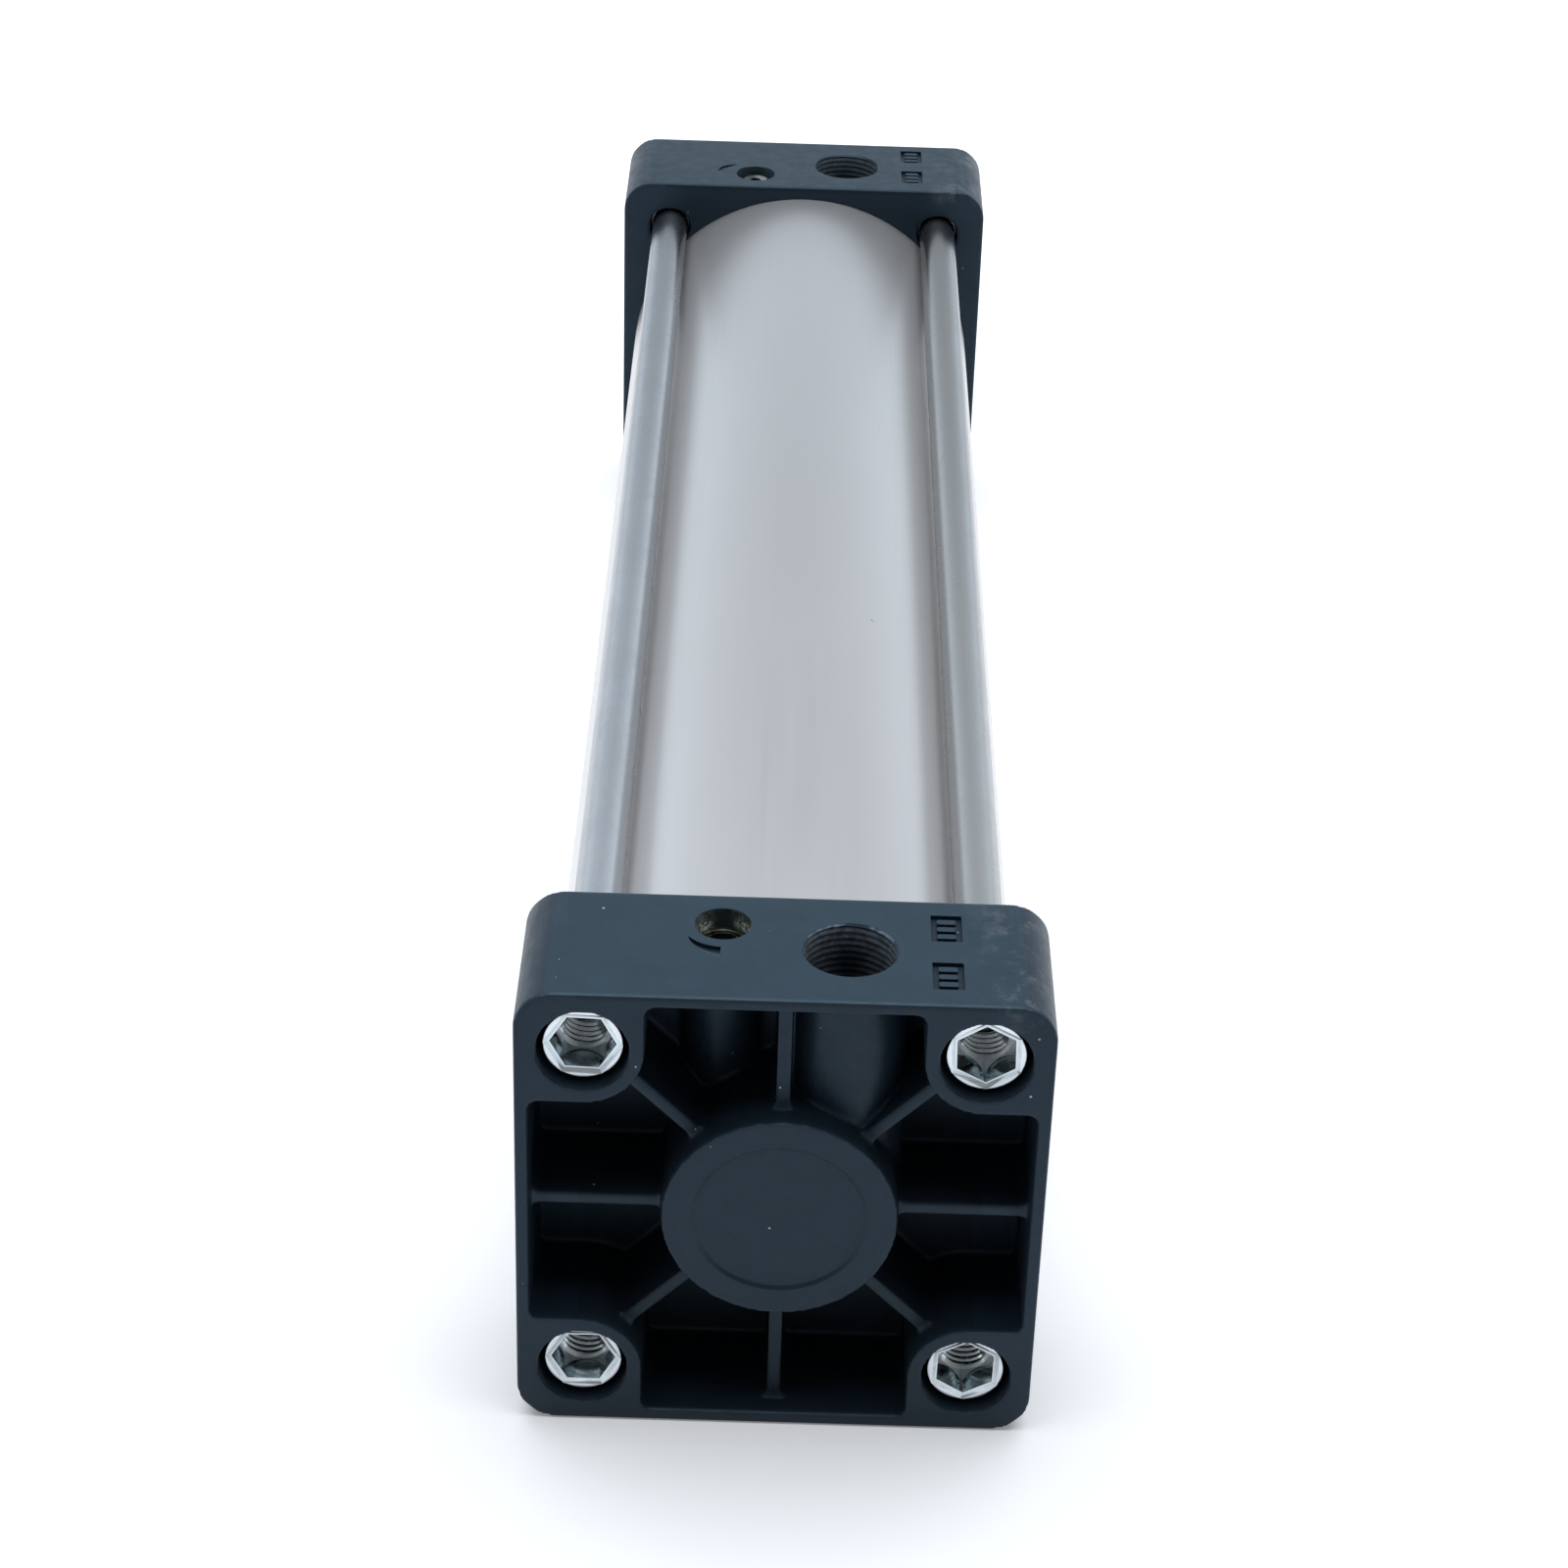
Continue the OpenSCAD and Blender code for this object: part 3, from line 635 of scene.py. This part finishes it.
MATERIALS = {
    "cover_coating": cover_coating(
        "cover_coating", mount("rear_port")[0], node_middle("rear_needle"), wear_and_painted_glints=1.0,
        thread_tones=(colour(118, 128, 134), colour(84, 94, 102)),
        well_tones=(colour(138, 150, 142), colour(70, 80, 70))),
    "front_coating": cover_coating(
        "front_coating", mount("front_port")[0], node_middle("front_needle"), wear_and_painted_glints=0.0,
        thread_tones=(colour(92, 104, 110), colour(74, 84, 90)),
        well_tones=(colour(78, 98, 110), colour(60, 78, 90))),
    "tube_alloy": tube_alloy(),
    "tie_rod_steel": tie_rod_steel(),
    "zinc_plate": zinc_plate(),
    "rear_nut_zinc": zinc_plate("rear_nut_zinc", node_box("rear_tie_nuts")[0].y),
    "front_nut_zinc": zinc_plate("front_nut_zinc", node_box("front_tie_nuts")[1].y),
    "rod_chrome": turned_metal("rod_chrome", colour(218, 220, 223), colour(210, 212, 216), 0.06, 0.14),
    "sleeve_steel": turned_metal("sleeve_steel", colour(180, 182, 185), colour(160, 162, 165), 0.25, 0.4),
    "ring_steel": turned_metal("ring_steel", colour(150, 150, 134), colour(66, 68, 56), 0.25, 0.45),
    "piston_alloy": turned_metal("piston_alloy", colour(190, 190, 186), colour(172, 172, 168), 0.3, 0.45),
    "bush_bronze": turned_metal("bush_bronze", colour(176, 142, 96), colour(150, 118, 76), 0.4, 0.55),
    "needle_brass": plated_brass(),
    "rubber": rubber(),
    "guide_resin": guide_resin(),
}


# ---------------------------------------------------------------- covers

def soften(made, voxel, passes, faces):
    """Gives a sharp casting the soft edges of a mould, and thins the mesh."""
    melt = made.modifiers.new("melt", "REMESH")
    melt.mode = "VOXEL"
    melt.voxel_size = voxel
    evaluate(made)
    relax = made.modifiers.new("relax", "SMOOTH")
    relax.factor = 0.5
    relax.iterations = passes
    evaluate(made)
    count = sum(len(p.vertices) - 2 for p in made.data.polygons)
    thin = made.modifiers.new("thin", "DECIMATE")
    thin.ratio = min(1.0, faces / count)
    return evaluate(made)


def stopper(place, radius, depth):
    """A solid that fills a hole in a cover's top, down to its depth."""
    return cylinder("stopper", radius, depth, upright(place.x, place.y, TOP - depth))


def casting(end):
    """The cover at one end as it leaves the mould: the CAD cover with its machined holes plugged."""
    node = end + "_cover"
    made = welded_copy(node, node + "_casting")
    port = mount(end + "_port")[0]
    needle = node_middle(end + "_needle")
    add(made, stopper(port, PORT_R + 1.2, 20), stopper(needle, WELL_R + 1.0, 12))
    edge, thickness = 3, 1.5
    skin = rectangle(-SKIN_HALF, edge, SKIN_HALF, COVER_LEN - edge)
    start = 0 if end == "rear" else tube_hi.y
    add(made, prism("skin", skin, thickness, upright(0, start, TOP - thickness)))
    if end == "rear":
        add(made, cylinder("recess", BOSS_RECESS[0] + 1, 2, along_y()))
    soften(made, 0.4, 6, 110_000)
    return made, port, needle


def tapped_port(port):
    """Cutters for the port: the thread with its core, the chamfer and the passage below."""
    thread = thread_body("tap", PORT_R, PORT_R - PORT_THREAD, PORT_PITCH, PORT_DEPTH + 4)
    reach = cylinder("reach", PORT_R + 2, PORT_DEPTH + 2, segments=SEGMENTS)
    combine(thread, reach, "INTERSECT")
    thread.data.transform(upright(port.x, port.y, TOP - PORT_DEPTH))
    chamfer = 0.8
    wide, narrow = PORT_R + 0.2, PORT_R - 0.6
    mouth = lathe("mouth", [(0, 0), (narrow, 0), (wide, chamfer), (wide, 2.0), (0, 2.0)],
                  upright(port.x, port.y, TOP - chamfer))
    passage = cylinder("passage", PASSAGE_R, 24, upright(port.x, port.y, TOP - 34))
    return thread, mouth, passage


def needle_well(needle):
    """Cutter for the stepped well over a cushion needle."""
    step = TOP - WELL_DEPTH
    groove = step - RING_LEN
    bore, depth = NEEDLE_BORE
    profile = [(0, TOP - depth), (bore, TOP - depth), (bore, groove), (RING_OUT_R, groove),
               (RING_OUT_R, step), (WELL_R, step), (WELL_R, TOP - 0.1), (WELL_R + 0.2, TOP + 0.1),
               (WELL_R + 0.2, TOP + 1), (0, TOP + 1)]
    return lathe("well", profile, upright(needle.x, needle.y, 0))


def chisel_cut(name, deep_edge, shallow_edge, depth, shallow):
    """Cutter for an engraved mark whose floor rises from one edge to the other."""
    bm = bmesh.new()
    stations = []
    for deep, far in zip(deep_edge, shallow_edge):
        section = ((*deep, TOP - depth), (*deep, TOP + 1), (*far, TOP + 1), (*far, TOP - shallow))
        stations.append([bm.verts.new(corner) for corner in section])
    for here, following in zip(stations, stations[1:]):
        for i in range(4):
            j = (i + 1) % 4
            bm.faces.new((here[i], here[j], following[j], following[i]))
    bm.faces.new(stations[0])
    bm.faces.new(stations[-1])
    return mesh_object(name, bm)


def tapered_arc(centre):
    """Cutter for the arc engraved round the rear needle, which widens from a point."""
    radius, start, end, width, swell, steps = 7.35, 216, 268.5, 3.1, 0.85, 24
    inner, outer = [], []
    for i in range(steps + 1):
        t = i / steps
        angle = math.radians(start + (end - start) * t)
        reach = radius + max(width * t ** swell, 0.15)
        inner.append((centre.x + radius * math.cos(angle), centre.y + radius * math.sin(angle)))
        outer.append((centre.x + reach * math.cos(angle), centre.y + reach * math.sin(angle)))
    return chisel_cut("arc", inner, outer, 0.7, 0.02)


def leaf():
    """Cutter for the leaf engraved beside the front needle: one edge straight, the other bowed."""
    start, end, width, steps = Vector((-22.9, FRONT_Y - 22.4)), Vector((-18.1, FRONT_Y - 17.4)), 1.4, 24
    span = end - start
    side = Vector((-span.y, span.x)).normalized()
    straight = [start + span * i / steps for i in range(steps + 1)]
    bow = [p + side * (0.08 + width * math.sin(math.pi * i / steps)) for i, p in enumerate(straight)]
    return chisel_cut("leaf", bow, straight, 0.45, 0.1)


def panel_cut(x, y):
    """Cutter for a recessed panel with its corner at (x, y)."""
    width, length, depth = PANEL
    outline = rounded(rectangle(0, 0, width, length), 0.3, 3)
    return prism("panel", outline, 2, upright(x, y, TOP - depth))


def panel_bars(x, y):
    """Plain raised bars in a recessed panel, where a size mark would stand."""
    width, _, depth = PANEL
    side, first, pitch, thickness, sunk = 1.1, 1.0, 2.3, 1.4, 0.2
    bars = []
    for k in range(3):
        low = first + k * pitch
        outline = rounded(rectangle(side, low, width - side, low + thickness), 0.4, 3)
        bars.append(prism("bar", outline, depth + 0.15, upright(x, y, TOP - depth - sunk)))
    return bars


def rear_cover():
    """Near cover: a shallow recess in its boss, an engraved arc and two panels."""
    made, port, needle = casting("rear")
    cut(made, *tapped_port(port), needle_well(needle))
    radius, depth = BOSS_RECESS
    wide, narrow = radius + 0.3, radius - 0.3
    recess = lathe("recess", [(0, -1), (wide, -1), (wide, 0), (narrow, depth), (0, depth)], along_y(), 192)
    cut(made, tapered_arc(needle), recess)
    for x, y in REAR_PANELS:
        cut(made, panel_cut(x, y))
        add(made, *panel_bars(x, y))
    piece(made, "barrel", MATERIALS["cover_coating"], ["rear_cover"], 32)


def front_cover():
    """Far cover: an engraved leaf and two panels."""
    made, port, needle = casting("front")
    cut(made, *tapped_port(port), needle_well(needle), leaf())
    for x, inset in FRONT_PANELS:
        y = FRONT_Y - inset - PANEL[1]
        cut(made, panel_cut(x, y))
        add(made, *panel_bars(x, y))
    piece(made, "barrel", MATERIALS["front_coating"], ["front_cover"], 32)


# ---------------------------------------------------------------- tube, tie rods and nuts

def tube():
    """Round tube with its end edges broken."""
    profile = rounded(rectangle(TUBE_R - TUBE_WALL, tube_lo.y, TUBE_R, tube_hi.y), 0.3, 3)
    made = lathe("tube_shell", profile, along_y(), 256)
    piece(made, "barrel", MATERIALS["tube_alloy"], ["tube"], 40)


def tie_rod(number, corner):
    """Round bar with a wider stretch of thread near each end, which fills its nut."""
    node = f"tie_rod_{number}"
    lo, hi = node_box(node)
    thread = (hi.x - lo.x) / 2
    outer, inner = 9, 14   # from the bar's end to the two ends of its thread
    outline = [(0, lo.y), (SHANK_R, lo.y), (SHANK_R, lo.y + outer), (thread, lo.y + outer),
               (thread, lo.y + inner), (SHANK_R, lo.y + inner), (SHANK_R, hi.y - inner),
               (thread, hi.y - inner), (thread, hi.y - outer), (SHANK_R, hi.y - outer),
               (SHANK_R, hi.y), (0, hi.y)]
    place = along_y(corner[0] * TIE, 0, corner[1] * TIE)
    made = lathe(node + "_bar", rounded(outline, 0.3, 3), place, 96)
    piece(made, "barrel", MATERIALS["tie_rod_steel"], [node], 40)


def six_sided_taper(name, wide, narrow, depth, turn):
    """Cutter for the tapered mouth of a hexagon socket, from above 0 down to its depth."""
    bm = bmesh.new()
    slope = (wide - narrow) / depth
    levels = [(-0.5, wide + 0.5 * slope), (depth, narrow)]
    rings = [[bm.verts.new((x, y, z)) for x, y in hexagon(across, turn)] for z, across in levels]
    bm.faces.new(rings[0])
    bm.faces.new(rings[1])
    for i in range(6):
        j = (i + 1) % 6
        bm.faces.new((rings[0][i], rings[0][j], rings[1][j], rings[1][i]))
    return mesh_object(name, bm)


def tie_nut(name, node, material, place, hex_turn):
    """Round nut with a hexagon socket and a real thread below it, drawn from its outer face at 0."""
    lo, hi = node_box(node)
    length = hi.y - lo.y
    made = lathe(name, rounded(rectangle(0, 0, NUT_R, length), 0.2, 4))
    socket = prism("socket", hexagon(NUT_FLATS, hex_turn), NUT_SOCKET + 1, upright(0, 0, -1))
    mouth = six_sided_taper("mouth", NUT_FLATS + 2.1, NUT_FLATS + 0.3, 0.5, hex_turn)
    cone_top, cone_bottom = NUT_SOCKET - 0.1, NUT_SOCKET + 0.35
    cone = lathe("cone", [(0, cone_top), (5.1, cone_top), (4.4, cone_bottom), (0, cone_bottom)], None, 64)
    cut(made, socket, mouth, cone)
    crest, root, pitch = NUT_THREAD
    overlap = 0.6
    thread = thread_body("tap", crest, root, pitch, 12)
    reach = cylinder("reach", crest + 0.2, NUT_THREAD_LEN + overlap, upright(0, 0, NUT_SOCKET - overlap))
    combine(thread, reach, "INTERSECT")
    bore = cylinder("bore", SHANK_R + 0.02, length, upright(0, 0, NUT_SOCKET + NUT_THREAD_LEN - 0.4))
    cut(made, thread, bore)
    made.data.transform(place)
    piece(made, "barrel", MATERIALS[material], [node], 30)


def tie_nuts():
    """All eight nuts, each tightened to its own angle in degrees."""
    rear_face = node_box("rear_tie_nuts")[0].y
    front_face = node_box("front_tie_nuts")[1].y
    rear_turns = (28, 2, 0, 31)
    front_turns = (12, 25, 4, 17)
    for i, (sx, sz) in enumerate(CORNERS):
        tie_nut(f"rear_tie_nut_{i + 1}", "rear_tie_nuts", "rear_nut_zinc",
                along_y(sx * TIE, rear_face, sz * TIE), rear_turns[i])
        tie_nut(f"front_tie_nut_{i + 1}", "front_tie_nuts", "front_nut_zinc",
                against_y(sx * TIE, front_face, sz * TIE), front_turns[i])


# ---------------------------------------------------------------- needles

def cushion_needle(end):
    """Cushion needle with its hexagon socket, and the split ring above it."""
    lo, hi = node_box(end + "_needle")
    centre = (lo + hi) / 2
    point, head = lo.z, hi.z
    tip, thread, groove, neck, shoulder = 1.4, 3.0, 3.1, 3.3, (hi.x - lo.x) / 2
    thread_low, thread_top = head - 16.4, head - 8
    groove_low, groove_top, neck_low = head - 7.1, head - 4.7, head - 3.7
    dish = head - 0.3
    profile = [(0, point), (0.3, point), (tip, point + 2), (tip, thread_low), (thread, thread_low),
               (thread, thread_top), (shoulder, thread_top), (shoulder, groove_low), (groove, groove_low),
               (groove, groove_top), (shoulder, groove_top), (shoulder, neck_low), (neck, neck_low),
               (neck, head - 0.25), (neck - 0.2, head), (1.5, dish), (0, dish)]
    made = lathe(end + "_needle_screw", rounded(profile, 0.2, 3), upright(centre.x, centre.y, 0), 64)
    key_flats, key_depth = 2.5, 3
    cut(made, prism("socket", hexagon(key_flats), 4, upright(centre.x, centre.y, head - key_depth)))
    piece(made, end + "_needle_screw", MATERIALS["needle_brass"], [end + "_needle"], 30)

    ring_lo, ring_hi = node_box(end + "_needle_ring")
    bottom, top = ring_lo.z, ring_hi.z
    middle = (ring_lo + ring_hi) / 2
    profile = rounded(rectangle(RING_IN_R, bottom, RING_OUT_R, top), 0.25, 3)
    ring = lathe(end + "_needle_split_ring", profile, None, 96)
    cut(ring, prism("gap", rectangle(-1, -7, 1, 0), 4, upright(0, 0, bottom - 1)))
    ring.data.transform(upright(middle.x, middle.y, 0))
    piece(ring, "barrel", MATERIALS["ring_steel"], [end + "_needle_ring"], 30)


# ---------------------------------------------------------------- rod end

def piston_rod():
    """Chromed rod with spanner flats and a rolled end thread."""
    lo, hi = node_box("piston_rod")
    radius = (hi.x - lo.x) / 2
    rear_thread, spindle, relief = 8, 9, 8.9
    spindle_y, shoulder_y, thread_y = 21.3, 88.7, hi.y - ROD_THREAD_LEN
    bevel = 1.2
    profile = [(0, lo.y), (rear_thread - 1, lo.y), (rear_thread, lo.y + 1), (rear_thread, spindle_y),
               (spindle, spindle_y), (spindle, shoulder_y), (radius, shoulder_y),
               (radius, thread_y - bevel), (radius - bevel, thread_y), (relief, thread_y),
               (relief, thread_y + 5), (0, thread_y + 5)]
    made = lathe("piston_rod_turned", rounded(profile, 0.15, 3), along_y())
    half_flats, flat_depth = 11, 6
    flat_outline = rounded(rectangle(-14, -5, 14, 5), 1.5, 4)
    for low in (-half_flats - flat_depth, half_flats):
        cut(made, prism("flat", flat_outline, flat_depth, upright(0, thread_y - 7, low)))
    crest, root, pitch = ROD_THREAD
    thread = thread_body("thread", crest, root, pitch, ROD_THREAD_LEN + 2)
    outside = crest + 0.1
    envelope = lathe("envelope", [(0, 0), (relief, 0), (relief, 2.2), (outside, 3.4),
                                  (outside, ROD_THREAD_LEN - 1.6), (crest - 1.5, ROD_THREAD_LEN),
                                  (0, ROD_THREAD_LEN)])
    combine(thread, envelope, "INTERSECT")
    thread.data.transform(along_y(0, thread_y, 0))
    add(made, thread)
    piece(made, "rod_assembly", MATERIALS["rod_chrome"], ["piston_rod"], 28)


def rod_lock_nut():
    """Thin hexagon nut, chamfered on both faces, with a real thread."""
    lo, hi = node_box("rod_lock_nut")
    length = hi.y - lo.y
    corner = (hi.x - lo.x) / 2
    flat = (hi.z - lo.z) / 2
    made = prism("rod_lock_nut_hex", polygon(6, corner), length)
    bevel = 1.7
    dome = lathe("dome", [(0, 0), (flat - 0.6, 0), (corner + 0.2, bevel), (corner + 0.2, length - bevel),
                          (flat - 0.6, length), (0, length)], None, 96)
    combine(made, dome, "INTERSECT")
    crest, root, pitch = ROD_THREAD
    thread = thread_body("tap", crest + 0.05, root + 0.07, pitch, length + 3)
    thread.data.transform(upright(0, 0, -1.5))
    reach = cylinder("reach", 11, length + 2, upright(0, 0, -1))
    combine(thread, reach, "INTERSECT")
    mouth = [(0, -1), (11.6, -1), (10.5, 0.1), (9.2, 1.3), (0, 1.3)]
    far_mouth = [(radius, length - depth) for radius, depth in reversed(mouth)]
    cut(made, thread, lathe("lead", mouth, None, 96), lathe("lead", far_mouth, None, 96))
    made.data.transform(along_y(0, lo.y, 0))
    piece(made, "rod_assembly", MATERIALS["zinc_plate"], ["rod_lock_nut"], 30)


def rod_seal():
    """Rubber packing at the mouth of the pilot boss, with a raised wiper lip."""
    pressure_lip = [(14.3, 9.5), (12.62, 8.5), (12.62, 7.4), (14.6, 5)]    # radius, depth in the mouth
    wiper_lip = [(13.9, 2.0), (12.58, 0.6), (12.9, -0.35), (14.4, -0.1), (15.3, 0.9)]
    body = [(17.9, 0.75), (18.45, 1.2), (18.45, 9.9)]
    profile = [(radius, PILOT_END - depth) for radius, depth in pressure_lip + wiper_lip + body]
    made = lathe("rod_seal_wiper", rounded(profile, 0.25, 3), along_y())
    piece(made, "barrel", MATERIALS["rubber"], ["rod_seal"], 50)


def inner_nodes():
    """The CAD nodes that stay as they are take their slot's material."""
    for part in frame["record"]["subparts"]:
        node = frame["nodes"][part["node"]]
        node.data.materials.clear()
        node.data.materials.append(MATERIALS[part["material_slot"]])
        for face in node.data.polygons:
            face.use_smooth = True
        node.data.set_sharp_from_angle(angle=math.radians(30))


# ---------------------------------------------------------------- stage, lights and camera

def sky():
    """Pale surroundings: brightest at the horizon, dimmer overhead and behind the camera, bluest ahead."""
    world = bpy.data.worlds.new("studio")
    world.use_nodes = True
    tree = world.node_tree
    background = tree.nodes["Background"]
    towards = tree.nodes.new("ShaderNodeTexCoord").outputs["Generated"]
    axes = tree.nodes.new("ShaderNodeSeparateXYZ")
    tree.links.new(towards, axes.inputs[0])

    def ramp(socket, low, high, to_low, to_high):
        made = tree.nodes.new("ShaderNodeMapRange")
        tree.links.new(socket, made.inputs["Value"])
        for key, value in (("From Min", low), ("From Max", high), ("To Min", to_low), ("To Max", to_high)):
            made.inputs[key].default_value = value
        return made.outputs[0]

    product = tree.nodes.new("ShaderNodeMath")
    product.operation = "MULTIPLY"
    tree.links.new(ramp(axes.outputs["Z"], 0.05, 0.5, 1.4, 0.45), product.inputs[0])
    tree.links.new(ramp(axes.outputs["Y"], -0.6, 0.3, 0.3, 1.0), product.inputs[1])
    tree.links.new(product.outputs[0], background.inputs["Strength"])
    tint = tree.nodes.new("ShaderNodeMix")
    tint.data_type = "RGBA"
    tree.links.new(ramp(axes.outputs["Y"], -0.6, 0.3, 0.0, 1.0), tint.inputs[0])
    tint.inputs[6].default_value = (0.98, 0.96, 0.97, 1)
    tint.inputs[7].default_value = (0.87, 0.98, 1.09, 1)
    tree.links.new(tint.outputs[2], background.inputs["Color"])
    bpy.context.scene.world = world


def floor():
    """Plain pale floor, a little darker in front of the object and glowing faintly beyond it."""
    floor_z = node_box("rear_cover")[0].z * MM
    bm = bmesh.new()
    bmesh.ops.create_grid(bm, x_segments=1, y_segments=1, size=6)
    made = mesh_object("floor", bm, Matrix.Translation((0, 0.5, floor_z - 0.0002)))
    s = Shader("floor", Roughness=0.9, Specular_IOR_Level=0.0, Emission_Color=(1, 1, 1, 1))
    s.set("Emission Strength", s.ramp(s.y, -0.2, 0.5, 0.05, 0.4))
    pale = s.mix(s.ramp(s.noise(3), 0.3, 0.7), (0.86, 0.86, 0.86, 1), (0.87, 0.87, 0.87, 1))
    s.set("Base Color", s.mix(s.ramp(s.y, -1.5, -0.05), (0.45, 0.45, 0.45, 1), pale))
    made.data.materials.append(s.material)


def soft_light():
    """One large soft light over the middle of the cylinder, facing down."""
    light = bpy.data.lights.new("top", "AREA")
    light.shape = "RECTANGLE"
    light.size, light.size_y = 1.5, 1.2
    light.energy = 20
    light.color = (0.95, 0.99, 1.05)
    made = bpy.data.objects.new("top", light)
    made.location = (0, 0.2, 1.2)
    made.rotation_mode = "QUATERNION"
    made.rotation_quaternion = Vector((0, 0, -1)).to_track_quat("-Z", "Y")
    bpy.context.scene.collection.objects.link(made)


def camera():
    """At the height and heading of the pictured view, tipped slightly about its line of sight."""
    elevation, heading, roll = math.radians(30.832), math.radians(0.185), math.radians(1.851)
    look = Vector((math.sin(heading) * math.cos(elevation), math.cos(heading) * math.cos(elevation),
                   -math.sin(elevation)))
    data = bpy.data.cameras.new("camera")
    data.lens = 82.645
    data.sensor_width = 36
    made = bpy.data.objects.new("camera", data)
    made.location = Vector((-3.28, -509.12, 394.04)) * MM
    made.rotation_mode = "QUATERNION"
    made.rotation_quaternion = look.to_track_quat("-Z", "Y") @ Quaternion((0, 0, 1), roll)
    bpy.context.scene.collection.objects.link(made)
    bpy.context.scene.camera = made


# ---------------------------------------------------------------- everything in order

inner_nodes()
rear_cover()
front_cover()
tube()
for number, corner in enumerate(CORNERS, 1):
    tie_rod(number, corner)
tie_nuts()
cushion_needle("rear")
cushion_needle("front")
piston_rod()
rod_lock_nut()
rod_seal()
floor()
sky()
soft_light()
camera()
bpy.context.scene.view_settings.view_transform = "Standard"
